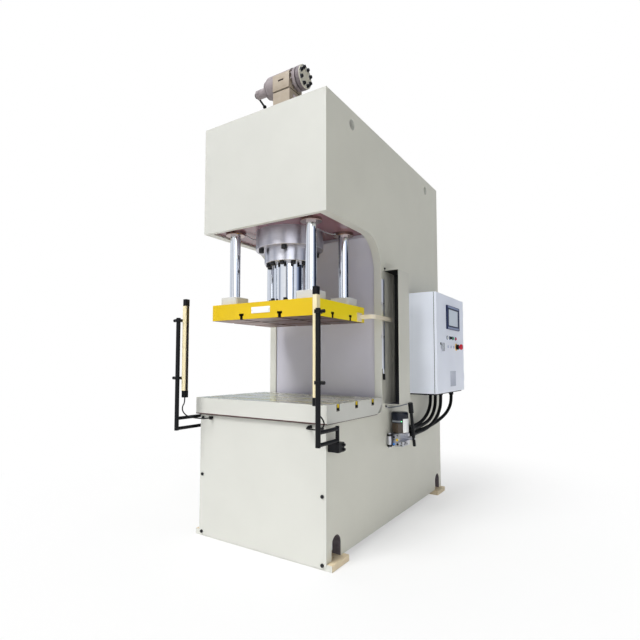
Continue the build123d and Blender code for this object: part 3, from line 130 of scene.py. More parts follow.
def rescale(tree, value, start_at=0.0, end_at=1.0, low=0.0, high=1.0, **settings):
    """A value that runs from low to high while another runs from its start to its end."""
    levels = {"Value": value, "From Min": start_at, "From Max": end_at, "To Min": low, "To Max": high}
    return add(tree, "MapRange", levels, **settings)


def set_input(shader, name, source):
    """Links a node or a socket to an input of the shader."""
    shader.id_data.links.new(socket_of(source), shader.inputs[name])


def input_source(shader, name):
    """The socket that feeds an input of the shader."""
    return shader.inputs[name].links[0].from_socket


def start(name, color, roughness, metallic=0.0, ior=None, mirror=0.5):
    """A material with its shader's uniform values, and the place on the object to hang patterns on."""
    material = bpy.data.materials.new(name)
    material.use_nodes = True
    material.diffuse_color = linear(color)
    tree = material.node_tree
    shader = tree.nodes["Principled BSDF"]
    values = {"Base Color": linear(color), "Roughness": roughness, "Metallic": metallic}
    values["Specular IOR Level"] = mirror
    if ior:
        values["IOR"] = ior
    for socket, value in values.items():
        shader.inputs[socket].default_value = value
    place = add(tree, "TexCoord").outputs["Object"]
    return material, tree, shader, place


def two_tones(tree, factor, first, second):
    """A colour that goes from the first to the second with the factor; each is a hex code or a socket."""
    a, b = (linear(c) if isinstance(c, str) else c for c in (first, second))
    return add(tree, "Mix", {0: factor, 6: a, 7: b}, data_type="RGBA").outputs[2]


def inside(tree, place, limits):
    """1 where the place lies within the limits, a dict of axis letter to (low, high), and 0 outside."""
    parts = add(tree, "SeparateXYZ", {0: place}).outputs
    result = None
    for axis, (low, high) in limits.items():
        for test, bound in (("GREATER_THAN", low), ("LESS_THAN", high)):
            step = calculate(tree, test, parts[axis], bound)
            result = calculate(tree, "MULTIPLY", step, result) if result else step
    return result


def vary_tone(tree, shader, color, pattern, start_at, end_at, painted_groove_shade, light):
    """The colour, made darker or lighter as the pattern goes from one level to the other."""
    values = {"Color": linear(color), "Value": rescale(tree, pattern, start_at, end_at, painted_groove_shade, light)}
    set_input(shader, "Base Color", add(tree, "HueSaturation", values))


def vary_roughness(tree, shader, pattern, smooth, rough):
    """A roughness that follows the pattern from smooth to rough."""
    set_input(shader, "Roughness", rescale(tree, pattern, low=smooth, high=rough))


def set_relief(tree, shader, height, strength, distance, edge=0.0):
    """Bump from a height, over edges that look rounded by the given radius."""
    bump = add(tree, "Bump", {"Height": height, "Strength": strength, "Distance": distance})
    if edge:
        rounded = add(tree, "Bevel", {"Radius": edge}, samples=4)
        tree.links.new(rounded.outputs[0], bump.inputs["Normal"])
    set_input(shader, "Normal", bump)


# Paints

def sprayed_enamel(name, color, roughness=0.42, edge=0.0015, shade=0.96):
    """Two-pack enamel on filled steel: semi-gloss, with faint orange peel and a slow drift of tone."""
    material, tree, shader, place = start(name, color, roughness, ior=1.5)
    # the drift is about 0.4 m wide, as one pass of the spray gun
    drift = noise(tree, place, 2.5, 3)
    vary_tone(tree, shader, color, drift, 0.35, 0.65, shade, 1.0)
    # real orange peel is 2 to 4 mm wide; it is drawn 9 mm wide, so that it shows at all
    peel = noise(tree, place, 110, 2)
    vary_roughness(tree, shader, peel, roughness - 0.05, roughness + 0.07)
    set_relief(tree, shader, peel, 0.10, 0.0006, edge)
    return material, tree, shader, place


def ground_steel_look(tree, place, oil="#D3D6A8", tones=("#CFCFC8", "#F0EFE8")):
    """Colour and roughness of surface-ground steel: fine parallel scratches under a thin film of oil."""
    # the wheel's scratches run along X; they are drawn 2 mm apart, coarser than real, so that they show
    lines = add(tree, "Mapping", {"Vector": place, "Scale": (9, 900, 900)})
    scratch = noise(tree, lines, 0.5, 4)
    film = noise(tree, place, 7, 5, Distortion=0.8)
    wet = rescale(tree, film, 0.42, 0.62)
    metal = two_tones(tree, scratch, *tones)
    color = two_tones(tree, wet, metal, oil)
    rough = rescale(tree, wet, low=0.34, high=0.16)
    return color, rough


def bed_material(paint):
    """The bed: painted edges, an oiled ground top, painted shade in the heads of the T-slots, and yellow
    grease in their necks.
    """
    material, tree, shader, place = sprayed_enamel("painted_and_ground_bed", paint)
    tone = input_source(shader, "Base Color")
    gloss = input_source(shader, "Roughness")
    top = inside(tree, place, {"Z": (BED_TOP - 0.0012, BED_TOP + 0.01)})
    steel, rough = ground_steel_look(tree, place)
    color = two_tones(tree, top, tone, steel)
    # half the width of a T-slot's head and neck
    head, neck = 0.0192, 0.013
    edge, neck_foot, head_foot = BED_TOP - 0.0016, BED_TOP - 0.0245, BED_TOP - 0.042
    for y in BED_SLOTS_Y:
        # painted shade: the head of each T-slot is made dark
        shaded_hollow = inside(tree, place, {"Y": (y - head, y + head), "Z": (head_foot, edge)})
        core = inside(tree, place, {"Y": (y - neck, y + neck), "Z": (neck_foot, edge)})
        color = two_tones(tree, shaded_hollow, color, "#2B2A26")
        color = two_tones(tree, core, color, "#CDB52A")
    set_input(shader, "Base Color", color)
    for name, painted, ground in (("Roughness", gloss, rough), ("Metallic", 0.0, 0.9)):
        set_input(shader, name, add(tree, "Mix", {0: top, 2: painted, 3: ground}))
    return material


def slide_material(paint):
    """The slide: bright enamel with brighter end faces as painted light, and a bare ground underside
    under patchy oil, browned by painted shade and a painted reddish reflection, with painted shade in its
    T-slots.
    """
    material, tree, shader, place = sprayed_enamel("yellow_enamel_slide", paint, 0.38)
    half = 0.3993
    body = inside(tree, place, {"X": (-half, half)})
    # painted light: the two end faces, which turn sideways, take a brighter yellow
    tone = two_tones(tree, body, "#FBE100", input_source(shader, "Base Color"))
    under, slot_roof = SLIDE_UNDERSIDE - 0.01, SLIDE_UNDERSIDE + 0.0385
    below = inside(tree, place, {"Z": (under, SLIDE_UNDERSIDE + 0.0012)})
    plan = {"X": (0.0001 - half, half - 0.0001), "Y": (-1.0192, -0.3708)}
    shaded_slots = inside(tree, place, {"Z": (under, slot_roof), **plan})
    # painted shade and a painted reddish reflection: the browns of the bare underside
    steel, _ = ground_steel_look(tree, place, "#4E2E22", ("#6E4638", "#8E6858"))
    # painted shade: the T-slots in the underside are made dark
    color = two_tones(tree, shaded_slots, tone, "#1E1B18")
    set_input(shader, "Base Color", two_tones(tree, below, color, steel))
    set_input(shader, "Metallic", calculate(tree, "MULTIPLY", below, 0.85))
    return material


def side_plate_material(paint, lit_outer_paint, side):
    """A side plate: enamel on its faces, a lighter copy of it on the outer face as painted light, and
    bare flame-cut steel in its foot windows.
    """
    word = "right" if side > 0 else "left"
    material, tree, shader, place = sprayed_enamel(f"enamelled_plate_{word}", paint)
    color = input_source(shader, "Base Color")
    # painted light: the outer face takes the lighter copy of the paint
    outer = inside(tree, place, {"X": sorted((side * (SIDE_X - 0.0006), side * (SIDE_X + 0.001)))})
    tree.links.new(two_tones(tree, outer, paint, lit_outer_paint), color.node.inputs["Color"])
    across = sorted((side * (SIDE_INNER_X + 0.0006), side * (SIDE_X - 0.0006)))
    rust = noise(tree, place, 45, 5)
    scale = two_tones(tree, rust, "#4A4449", "#857D84")
    for y in (-FOOT_WINDOW_Y, FOOT_WINDOW_Y):
        window = {"X": across, "Y": (y - FOOT_WINDOW_HALF, y + FOOT_WINDOW_HALF), "Z": FOOT_WINDOW_Z}
        edge = inside(tree, place, window)
        color = two_tones(tree, edge, color, scale)
    set_input(shader, "Base Color", color)
    return material


def guard_material(paint):
    """The folded guard: enamel outside, and painted shade, near black, inside the channel."""
    material, tree, shader, place = sprayed_enamel("enamelled_guard_sheet", paint)
    tone = input_source(shader, "Base Color")
    # painted shade: the inside of the channel is made near black
    shaded_hollow = inside(tree, place, GUARD_ROOM)
    rise = add(tree, "SeparateXYZ", {0: place}).outputs["Z"]
    # the painted shade is paler towards its foot
    painted_channel_shade = two_tones(tree, rescale(tree, rise, 0.86, 1.10), "#2E3038", "#07080B")
    set_input(shader, "Base Color", two_tones(tree, shaded_hollow, tone, painted_channel_shade))
    return material


def foot_material(paint):
    """The foot bars: worn cream enamel, with the front edge sprayed along with the cover above it."""
    material, tree, shader, place = sprayed_enamel("worn_cream_enamel", "#EAD8B6", 0.5, shade=0.90)
    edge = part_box("foot_bars")[0].y
    front = inside(tree, place, {"Y": (edge - 0.001, edge + 0.0012)})
    cream = input_source(shader, "Base Color")
    set_input(shader, "Base Color", two_tones(tree, front, cream, paint))
    return material


def powder_coat(name, color, roughness=0.42, mirror=0.5):
    """Baked polyester powder: matt to satin, with a fine even grain."""
    material, tree, shader, place = start(name, color, roughness, ior=1.5, mirror=mirror)
    # the grain of the powder is under 1 mm; it is drawn 4 mm wide
    grain = noise(tree, place, 260, 3)
    drift = noise(tree, place, 3, 2)
    vary_tone(tree, shader, color, drift, 0.3, 0.7, 0.96, 1.02)
    set_relief(tree, shader, grain, 0.16, 0.0004, 0.001)
    return material


# Metals

def turned_steel(name, color, roughness=0.30, pitch=0.004, drawn=0.0):
    """Steel turned in a lathe: fine rings round the axis that draw the light into upright streaks."""
    material, tree, shader, place = start(name, color, roughness, metallic=1.0)
    if drawn:
        shader.inputs["Anisotropic"].default_value = drawn
        shader.inputs["Anisotropic Rotation"].default_value = 0.25
        around = add(tree, "Tangent", direction_type="RADIAL", axis="Z")
        set_input(shader, "Tangent", around)
    # the feed of the tool is about 0.3 mm; the rings are drawn 4 to 6 mm wide, so that they show
    rings = add(tree, "Mapping", {"Vector": place, "Scale": (3, 3, 1 / pitch)})
    feed = noise(tree, rings, 1.0, 4)
    stain = noise(tree, place, 14, 4)
    shade = calculate(tree, "MULTIPLY", feed, stain)
    vary_tone(tree, shader, color, shade, 0.12, 0.4, 0.82, 1.0)
    vary_roughness(tree, shader, feed, roughness - 0.08, roughness + 0.10)
    set_relief(tree, shader, feed, 0.12, 0.0002, 0.001)
    return material


def hard_chrome(name):
    """Hard chrome, ground and polished: a mirror with the faintest drag lines and a trace of oil."""
    material, tree, shader, place = start(name, "#E4E7EC", 0.06, metallic=1.0)
    lines = add(tree, "Mapping", {"Vector": place, "Scale": (40, 40, 700)})
    drag = noise(tree, lines, 1.0, 3)
    film = noise(tree, place, 16, 5, Distortion=1.2)
    smear = rescale(tree, film, 0.4, 0.7, low=0.04, high=0.13)
    set_input(shader, "Roughness", smear)
    set_input(shader, "Base Color", two_tones(tree, smear, "#E6E9EE", "#B7B9BE"))
    set_relief(tree, shader, drag, 0.03, 0.0001)
    return material


def oxide_steel(name):
    """Black-oxide steel screws: near black, with a dull oiled sheen, rubbed paler in spots."""
    color = "#131317"
    material, tree, shader, place = start(name, color, 0.40, metallic=0.35)
    spots = noise(tree, place, 120, 3)
    rub = rescale(tree, spots, 0.55, 0.8)
    set_input(shader, "Base Color", two_tones(tree, rub, color, "#3C3C42"))
    set_relief(tree, shader, spots, 0.1, 0.0003, 0.0006)
    return material


def bright_metal(name, color, roughness, along=2):
    """Drawn, plated or extruded metal: satin, with lines along its length."""
    material, tree, shader, place = start(name, color, roughness, metallic=1.0)
    stretch = [500, 500, 500]
    stretch[along] = 6
    lines = add(tree, "Mapping", {"Vector": place, "Scale": stretch})
    streak = noise(tree, lines, 1.0, 3)
    vary_tone(tree, shader, color, streak, 0, 1, 0.86, 1.04)
    vary_roughness(tree, shader, streak, roughness - 0.06, roughness + 0.1)
    set_relief(tree, shader, streak, 0.06, 0.0002, 0.0006)
    return material


def painted_casting(name, color, dirt):
    """A sand casting under thin machine paint: a soft pebbled skin, with grime in patches."""
    material, tree, shader, place = start(name, color, 0.5, ior=1.5)
    # foundry sand leaves grains of 1 to 2 mm; they are drawn 6 mm wide, so that they show
    sand = noise(tree, place, 170, 4, Roughness=0.6)
    grime = noise(tree, place, 18, 5, Distortion=0.4)
    patch = rescale(tree, grime, 0.48, 0.72, high=0.75)
    set_input(shader, "Base Color", two_tones(tree, patch, color, dirt))
    vary_roughness(tree, shader, grime, 0.38, 0.62)
    set_relief(tree, shader, sand, 0.35, 0.0012, 0.0025)
    return material, tree, shader, place


def pump_body_material():
    """The pump's castings: a tan block with painted shade in its joint groove and slot, and violet-grey
    ends.
    """
    material, tree, shader, place = painted_casting("painted_cast_iron", "#9A9092", "#675E60")
    ends = input_source(shader, "Base Color")
    low_x, high_x = PUMP_BLOCK_X
    front, rear = PUMP_Y - PUMP_PAD_REACH - 0.0015, PUMP_Y + 0.0735
    sides = {"X": (low_x - 0.0015, high_x + 0.0015), "Y": (front, rear)}
    block_foot, joint_foot, joint_top = 2.70, 2.8762, 2.8818
    block = inside(tree, place, {**sides, "Z": (block_foot, PUMP_Z + 0.036)})
    stains = noise(tree, place, 30, 5)
    tan = two_tones(tree, stains, "#B9AC9C", "#A1937F")
    color = two_tones(tree, block, ends, tan)
    joint = inside(tree, place, {**sides, "Z": (joint_foot, joint_top)})
    left, right, under, over = PUMP_SLOT
    hollow = {"X": (left - 0.0002, right + 0.0002), "Y": (front + 0.0018, PUMP_Y)}
    slot = inside(tree, place, {**hollow, "Z": (under - 0.0003, over + 0.0003)})
    # painted shade: the joint groove and the slot's floor are made dark
    painted_groove_shade = calculate(tree, "MAXIMUM", joint, slot)
    set_input(shader, "Base Color", two_tones(tree, painted_groove_shade, color, "#2E1F1E"))
    return material


def pump_cap_material():
    """The pump's cap: a dark painted rim round a cleaner, ivory face."""
    material, tree, shader, place = painted_casting("grey_cast_iron", "#7C7276", "#403B3E")
    rim = input_source(shader, "Base Color")
    face_from, face_to = 0.2355, 0.30
    face = inside(tree, place, {"X": (face_from, face_to)})
    set_input(shader, "Base Color", two_tones(tree, face, rim, "#CFCBBC"))
    return material


# Plastics, rubber and glass

def moulded_plastic(name, color, roughness=0.4, grain=0.12, mirror=0.5):
    """Injection-moulded plastic: an even colour with a fine spark-eroded grain."""
    material, tree, shader, place = start(name, color, roughness, ior=1.5, mirror=mirror)
    fine = noise(tree, place, 420, 2)
    drift = noise(tree, place, 25, 2)
    vary_tone(tree, shader, color, drift, 0, 1, 0.92, 1.06)
    set_relief(tree, shader, fine, grain, 0.0003, 0.0008)
    return material


def corrugated_nylon(name, ribs):
    """Corrugated nylon conduit: black and satin, with a number of ribs along each cord."""
    material, tree, shader, _ = start(name, "#0A0B0D", 0.48, ior=1.45, mirror=0.2)
    along = add(tree, "TexCoord").outputs["UV"]
    part = add(tree, "SeparateXYZ", {0: along}).outputs["X"]
    turn = calculate(tree, "MULTIPLY", part, ribs * 2 * math.pi)
    wave = calculate(tree, "SINE", turn)
    set_input(shader, "Base Color", two_tones(tree, wave, "#050607", "#121317"))
    set_relief(tree, shader, wave, 0.8, 0.0018)
    return material


def display_material():
    """The display: a navy moulded bezel with silver bands, round a lit panel."""
    navy = "#1E2A50"
    material, tree, shader, place = start("display_bezel_and_panel", navy, 0.45, ior=1.5, mirror=0.25)
    low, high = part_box("display_unit")
    face = {"X": (high.x - 0.0035, high.x + 0.01)}

    def area(side, level):
        """The part of the front that lies at least side and level inside its edges."""
        return {**face, "Y": (low.y + side, high.y - side), "Z": (low.z + level, high.z - level)}

    page_area = inside(tree, place, area(0.046, 0.031))
    frame_area = inside(tree, place, area(0.040, 0.025))
    band = {**face, "Y": (low.y + 0.022, high.y - 0.022)}
    upper = inside(tree, place, {**band, "Z": (high.z - 0.019, high.z - 0.004)})
    lower = inside(tree, place, {**band, "Z": (low.z + 0.004, low.z + 0.019)})
    bands = calculate(tree, "MAXIMUM", upper, lower)
    # plain columns of fields on the lit page, 24 mm apart
    columns = add(tree, "TexWave", {"Vector": place, "Scale": 13}, bands_direction="Y")
    fields = rescale(tree, columns, 0.4, 0.6)
    page = two_tones(tree, fields, "#B3BDC9", "#C9D1DA")
    color = two_tones(tree, bands, navy, "#8C97B4")
    color = two_tones(tree, frame_area, color, "#141D3A")
    color = two_tones(tree, page_area, color, page)
    set_input(shader, "Base Color", color)
    set_input(shader, "Emission Color", color)
    set_input(shader, "Emission Strength", calculate(tree, "MULTIPLY", page_area, 0.15))
    return material


def clear_bowl():
    """A polycarbonate bowl, tinted brown by the oil that stands in it."""
    material, tree, shader, place = start("oiled_polycarbonate", "#3E2D19", 0.12, ior=1.58)
    bowl_foot, oil_level = 0.60, 0.726
    level = inside(tree, place, {"Z": (bowl_foot, oil_level)})
    streaks = noise(tree, place, 30, 4)
    oil = two_tones(tree, streaks, "#21160B", "#4A341C")
    set_input(shader, "Base Color", two_tones(tree, level, "#A79A82", oil))
    shader.inputs["Transmission Weight"].default_value = 0.15
    shader.inputs["Coat Weight"].default_value = 0.35
    return material


def glowing(name, color, strength):
    """A small lamp lens, lit from inside."""
    material, tree, shader, place = start(name, color, 0.2, ior=1.5)
    core = noise(tree, place, 300, 1)
    set_input(shader, "Base Color", two_tones(tree, core, color, "#E8FFF0"))
    shader.inputs["Emission Color"].default_value = linear(color)
    shader.inputs["Emission Strength"].default_value = strength
    return material


PAINT = "#D1D1CA"
# the outer faces of the side plates take a lighter, warmer copy of the paint, painted light for the faces
# turned sideways; the guard's enamel is slightly warmer
SIDE_LIT_PAINT = "#D9D8CC"
GUARD_PAINT = "#D2D1C6"
enamel = sprayed_enamel("warm_grey_enamel", PAINT)[0]
# the underside of the head: grey enamel darkened by painted shade and tinted purple-brown by a painted
# reddish reflection
shade_and_reflection_enamel = sprayed_enamel("enamel_with_painted_shade_and_reflection", "#7C545E", 0.22)[0]
edge_enamel = sprayed_enamel("cream_enamel", "#E4DAC4", 0.4)[0]
# painted shadow: the dark red-brown of the strips under the bed's edge
shadow_line_paint = sprayed_enamel("dark_red_shadow_line_paint", "#4A2C2C", 0.6)[0]
chrome = hard_chrome("hard_chrome")
steel = turned_steel("turned_steel", "#B9B8BC")
oxide = oxide_steel("black_oxide_steel")
black_coat = powder_coat("black_powder_coat", "#090A0E", mirror=0.2)
cabinet_coat = powder_coat("cool_grey_powder_coat", "#EEF3FF")
aluminium = bright_metal("anodised_aluminium", "#D4D8E2", 0.3)
zinc = bright_metal("zinc_plated_steel", "#C7C9CC", 0.25, along=0)
machined = bright_metal("machined_aluminium", "#C9CAD0", 0.3, along=1)
rubber = moulded_plastic("nitrile_rubber", "#141318", 0.6, mirror=0.2)
black_plastic = moulded_plastic("black_nylon", "#0A0B0E", 0.42, mirror=0.2)
navy_plastic = moulded_plastic("dark_blue_moulded_cap", "#0C1424", 0.16, mirror=0.35)
grey_plastic = moulded_plastic("grey_moulded_housing", "#767B82", 0.45)
cord_jacket = moulded_plastic("pvc_cord_jacket", "#0A0B0D", 0.45, mirror=0.2)
ribbed_jacket = corrugated_nylon("corrugated_nylon", ribs=90)
white_enamel = sprayed_enamel("white_enamel", "#F2F3F2", 0.3, edge=0.0005)[0]
yellow_plastic = moulded_plastic("yellow_nylon", "#E8C92C", 0.35)
blue_plastic = moulded_plastic("blue_nylon", "#3E8FE0", 0.35)
grey_blue_plastic = moulded_plastic("grey_blue_plastic", "#9AA6C4", 0.4)
satin_plate = powder_coat("coated_aluminium_plate", "#BCC2D2")
line_coat = moulded_plastic("coated_steel_pipe", "#5B6880", 0.35)
tinted_window = moulded_plastic("tinted_acrylic", "#241A1C", 0.12, grain=0.02)

cad_materials = {
    "bed_plate": bed_material(PAINT),
    "slide_plate": slide_material("#DDBA08"),
    "side_plate_right": side_plate_material(PAINT, SIDE_LIT_PAINT, 1),
    "side_plate_left": side_plate_material(PAINT, SIDE_LIT_PAINT, -1),
    "sensor_guard": guard_material(GUARD_PAINT),
    "cylinder_plate": shade_and_reflection_enamel,
    "throat_plate": sprayed_enamel("cool_grey_enamel", "#CAC8D4")[0],
    "foot_bars": foot_material(PAINT),
    "post_blocks": sprayed_enamel("white_enamel_blocks", "#D4D5D3")[0],
    "cylinder_barrel": turned_steel("turned_cylinder_steel", "#C6C4CC", 0.36, pitch=0.006, drawn=0.7),
    "cylinder_gland": turned_steel("turned_gland_steel", "#D6D6DE", 0.32, pitch=0.005, drawn=0.7),
    "guide_bushes": turned_steel("oiled_bush_steel", "#A08A84", 0.14),
    "rod_flange": steel,
    "return_pipe": black_coat,
    "piston_rod": chrome,
    "guide_posts": chrome,
    "rod_seal": rubber,
    "piston_seal": rubber,
    "frame_screws": oxide,
    "rod_flange_screws": oxide,
    "sensor_arm": edge_enamel,
    "sensor_rail": aluminium,
    "pump_body": pump_body_material(),
    "pump_cap": pump_cap_material(),
    "pump_lever": black_coat,
    "cabinet_box": cabinet_coat,
    "cabinet_door": cabinet_coat,
    "control_gear": grey_plastic,
    "display_unit": display_material(),
    # the rings are darkened to a blue-grey, partly as painted shade under the buttons
    "button_bases": bright_metal("satin_chrome_rings_with_painted_shade", "#8C93A6", 0.2, along=0),
    "button_white": moulded_plastic("white_polycarbonate", "#F1F2EE", 0.2, grain=0.05),
    "button_green": moulded_plastic("green_polycarbonate", "#149A54", 0.2, grain=0.05),
    "button_red": moulded_plastic("red_polycarbonate", "#D0283A", 0.2, grain=0.05),
    "selector_switch": black_plastic,
    "emergency_stop_ring": moulded_plastic("yellow_moulded_plate", "#F0BE1E", 0.35),
    "emergency_stop_base": black_plastic,
    "emergency_stop_head": moulded_plastic("red_moulded_mushroom", "#C81E32", 0.24, grain=0.05),
    "door_latch": zinc,
    "cable_glands": black_plastic,
    "lubricator_body": machined,
    "lubricator_bowl": clear_bowl(),
    "lubricator_cap": navy_plastic,
    "lubricator_lever": black_coat,
    "curtain_stands": black_coat,
    "stand_blocks": black_coat,
    "light_bars": sprayed_enamel("cream_yellow_coating", "#F4E6BC", 0.3, edge=0.0008)[0],
    "light_bar_caps": black_plastic,
    "curtain_clamps": black_coat,
    "clamp_knobs": black_plastic,
}


def dress_cad_nodes():
    """Gives every solid its material; what is not named is the frame's enamel."""
    for name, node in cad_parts.items():
        material = cad_materials.get(name, enamel)
        if node.data.materials:
            for i in range(len(node.data.materials)):
                node.data.materials[i] = material
        else:
            node.data.materials.append(material)


# Cords: conduits from the side plate to the cabinet, and the leads of the light curtains

def smooth_line(name, points, diameter, round_steps, steps):
    """A round curve on a smooth spline that the points control, with its ends closed."""
    data = bpy.data.curves.new(name, "CURVE")
    data.dimensions = "3D"
    data.bevel_depth = diameter / 2
    data.bevel_resolution = round_steps
    data.resolution_u = steps
    data.use_fill_caps = True
    spline = data.splines.new("NURBS")
    spline.points.add(len(points) - 1)
    for point, place in zip(spline.points, points):
        point.co = (*place, 1)
    spline.order_u = 3
    spline.use_endpoint_u = True
    curve = bpy.data.objects.new(name, data)
    bpy.context.scene.collection.objects.link(curve)
    return curve


def make_cord(name, node, points, diameter, material):
    """A cord along the route, in place of its solid."""
    cord = smooth_line(name, points, diameter, round_steps=4, steps=16)
    cord.data.materials.append(material)
    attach(cord, "frame")
    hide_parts(node)


LEAD_ROUTE = [
    (0.497, -1.168, 0.905), (0.497, -1.168, 0.869), (0.526, -1.160, 0.846), (0.538, -1.148, 0.812),
    (0.514, -1.134, 0.782), (0.470, -1.122, 0.772), (0.424, -1.110, 0.770), (0.380, -1.094, 0.770),
    (0.380, -1.054, 0.770),
]
CONDUIT_ROUTES = {
    "conduit_1": (0.555, [
        (0.512, 0.185, 0.650), (0.512, 0.310, 0.650), (0.514, 0.440, 0.668), (0.519, 0.525, 0.699),
        (0.524, 0.578, 0.737), (0.528, 0.606, 0.776), (0.530, 0.620, 0.822), (0.530, 0.620, 0.870),
    ]),
    "conduit_2": (0.762, [
        (0.512, 0.185, 0.608), (0.512, 0.310, 0.608), (0.528, 0.440, 0.612), (0.556, 0.560, 0.632),
        (0.588, 0.660, 0.666), (0.620, 0.738, 0.712), (0.640, 0.778, 0.764), (0.650, 0.794, 0.819),
        (0.650, 0.794, 0.870),
    ]),
    "conduit_3": (0.596, [
        (0.554, 0.140, 0.650), (0.554, 0.280, 0.650), (0.558, 0.420, 0.664), (0.564, 0.515, 0.692),
        (0.568, 0.568, 0.731), (0.571, 0.600, 0.775), (0.572, 0.615, 0.824), (0.572, 0.615, 0.870),
    ]),
    "conduit_4": (0.675, [
        (0.554, 0.140, 0.608), (0.554, 0.280, 0.608), (0.562, 0.420, 0.620), (0.574, 0.530, 0.650),
        (0.586, 0.602, 0.694), (0.594, 0.645, 0.744), (0.600, 0.668, 0.800), (0.600, 0.668, 0.870),
    ]),
}
CONDUIT_DIAMETER = 0.026
LEAD_DIAMETER = 0.008


def make_cords():
    """The four conduits and the two leads, each in place of its solid."""
    for node, (length, route) in CONDUIT_ROUTES.items():
        make_cord(f"{node}_cord", node, route, CONDUIT_DIAMETER, ribbed_jacket)
    for side, word in ((1, "right"), (-1, "left")):
        route = [(side * x, y, z) for x, y, z in LEAD_ROUTE]
        node = f"curtain_lead_{word}"
        make_cord(f"{node}_cord", node, route, LEAD_DIAMETER, cord_jacket)


# Modelling helpers

def deselect():
    """Clears the selection."""
    bpy.ops.object.select_all(action="DESELECT")


def select_only(piece):
    """Selects the piece alone, and makes it active."""
    deselect()
    piece.select_set(True)
    bpy.context.view_layer.objects.active = piece


def name_active(name):
    """Names the new piece and puts its place into its mesh."""
    piece = bpy.context.active_object
    piece.name = name
    piece.data.name = name
    bpy.ops.object.transform_apply(location=True, rotation=True, scale=True)
    return piece


def box_between(name, low, high):
    """A box between two corners."""
    deselect()
    low, high = Vector(low), Vector(high)
    bpy.ops.mesh.primitive_cube_add(size=1, location=(low + high) / 2)
    bpy.context.active_object.scale = high - low
    return name_active(name)


def drum(name, radius, start_at, end_at, sides=32):
    """A cylinder between two points."""
    deselect()
    start_at, end_at = Vector(start_at), Vector(end_at)
    run = end_at - start_at
    turn = run.to_track_quat("Z", "Y").to_euler()
    bpy.ops.mesh.primitive_cylinder_add(
        vertices=sides, radius=radius, depth=run.length, location=(start_at + end_at) / 2, rotation=turn)
    return name_active(name)


def leave_edit_mode():
    """Returns to object mode, which writes the edited mesh."""
    bpy.ops.object.mode_set(mode="OBJECT")


def edit_faces(piece, chosen):
    """Opens edit mode with only the faces selected that the test picks by centre and normal."""
    select_only(piece)
    bpy.ops.object.mode_set(mode="EDIT")
    bpy.ops.mesh.select_mode(type="FACE")
    bpy.ops.mesh.select_all(action="DESELECT")
    leave_edit_mode()
    for face in piece.data.polygons:
        face.select = bool(chosen(face.center, face.normal))
    bpy.ops.object.mode_set(mode="EDIT")


def extrude(step):
    """Extrudes the selected faces by a vector."""
    bpy.ops.mesh.extrude_region_move(TRANSFORM_OT_translate={"value": step})


def press_in(piece, normal, rim, depth):
    """Insets the faces that point along normal by rim, and moves them by depth, outwards if positive."""
    direction = Vector(normal)
    edit_faces(piece, lambda centre, facing: facing.dot(direction) > 0.99)
    bpy.ops.mesh.inset(thickness=rim, depth=0)
    extrude(direction * depth)
    leave_edit_mode()


def round_edges(piece, width, segments=2):
    """Rounds the edges where faces meet at over 40 degrees, and shades the piece smooth."""
    select_only(piece)
    bevel = piece.modifiers.new("edges", "BEVEL")
    bevel.width = width
    bevel.segments = segments
    bevel.limit_method = "ANGLE"
    bevel.angle_limit = math.radians(40)
    bpy.ops.object.modifier_apply(modifier=bevel.name)
    bpy.ops.object.shade_smooth_by_angle(angle=math.radians(35))


def finish_piece(piece, material, body="frame", edge=0.0, segments=2):
    """Rounds the edges, turns the faces outwards, and gives the piece its material and body."""
    if edge:
        round_edges(piece, edge, segments)
    edit_faces(piece, lambda centre, facing: True)
    bpy.ops.mesh.normals_make_consistent(inside=False)
    leave_edit_mode()
    piece.data.materials.clear()
    piece.data.materials.append(material)
    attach(piece, body)


def hollow_through(piece, direction, width):
    """Leaves a rim of the given width round a hole through the piece along the direction."""
    edit_faces(piece, lambda centre, facing: abs(facing.dot(direction)) > 0.9)
    bpy.ops.mesh.inset(thickness=width, depth=0)
    bpy.ops.mesh.bridge_edge_loops()
    leave_edit_mode()


def ring(name, place, direction, inner, outer, thickness, sides=32):
    """A flat ring that stands on a surface."""
    place, direction = Vector(place), Vector(direction).normalized()
    piece = drum(name, outer, place, place + direction * thickness, sides)
    hollow_through(piece, direction, outer - inner)
    return piece


def bent_sheet(name, centre, radius, thickness, heights, angles):
    """A sheet bent round an upright axis, between two heights and two angles in degrees from +X."""
    deselect()
    low, high = heights
    middle = (*centre, (low + high) / 2)
    bpy.ops.mesh.primitive_cylinder_add(
        vertices=120, radius=radius, depth=high - low, end_fill_type="NOTHING", location=middle)
    piece = name_active(name)
    aim = math.radians(sum(angles) / 2)
    reach = math.radians(angles[1] - angles[0]) / 2
    ahead, hub = Vector((math.cos(aim), math.sin(aim), 0)), Vector((*centre, 0))
    edit_faces(piece, lambda spot, facing: (Vector((spot.x, spot.y, 0)) - hub).angle(ahead) > reach)
    bpy.ops.mesh.delete(type="FACE")
    leave_edit_mode()
    wall = piece.modifiers.new("wall", "SOLIDIFY")
    wall.thickness = thickness
    wall.offset = 1
    bpy.ops.object.modifier_apply(modifier=wall.name)
    return piece


def small_screw(name, place, direction, across, head, material, body="frame"):
    """A low-head screw with a round socket, standing on a surface."""
    place, direction = Vector(place), Vector(direction).normalized()
    piece = drum(name, across / 2, place, place + direction * head, 24)
    edit_faces(piece, lambda centre, facing: facing.dot(direction) > 0.9)
    bpy.ops.mesh.inset(thickness=across * 0.14, depth=0)
    extrude(direction * head * 0.22)
    bpy.ops.mesh.inset(thickness=across * 0.12, depth=0)
    extrude(direction * head * -0.7)
    leave_edit_mode()
    finish_piece(piece, material, body, edge=across * 0.02, segments=1)


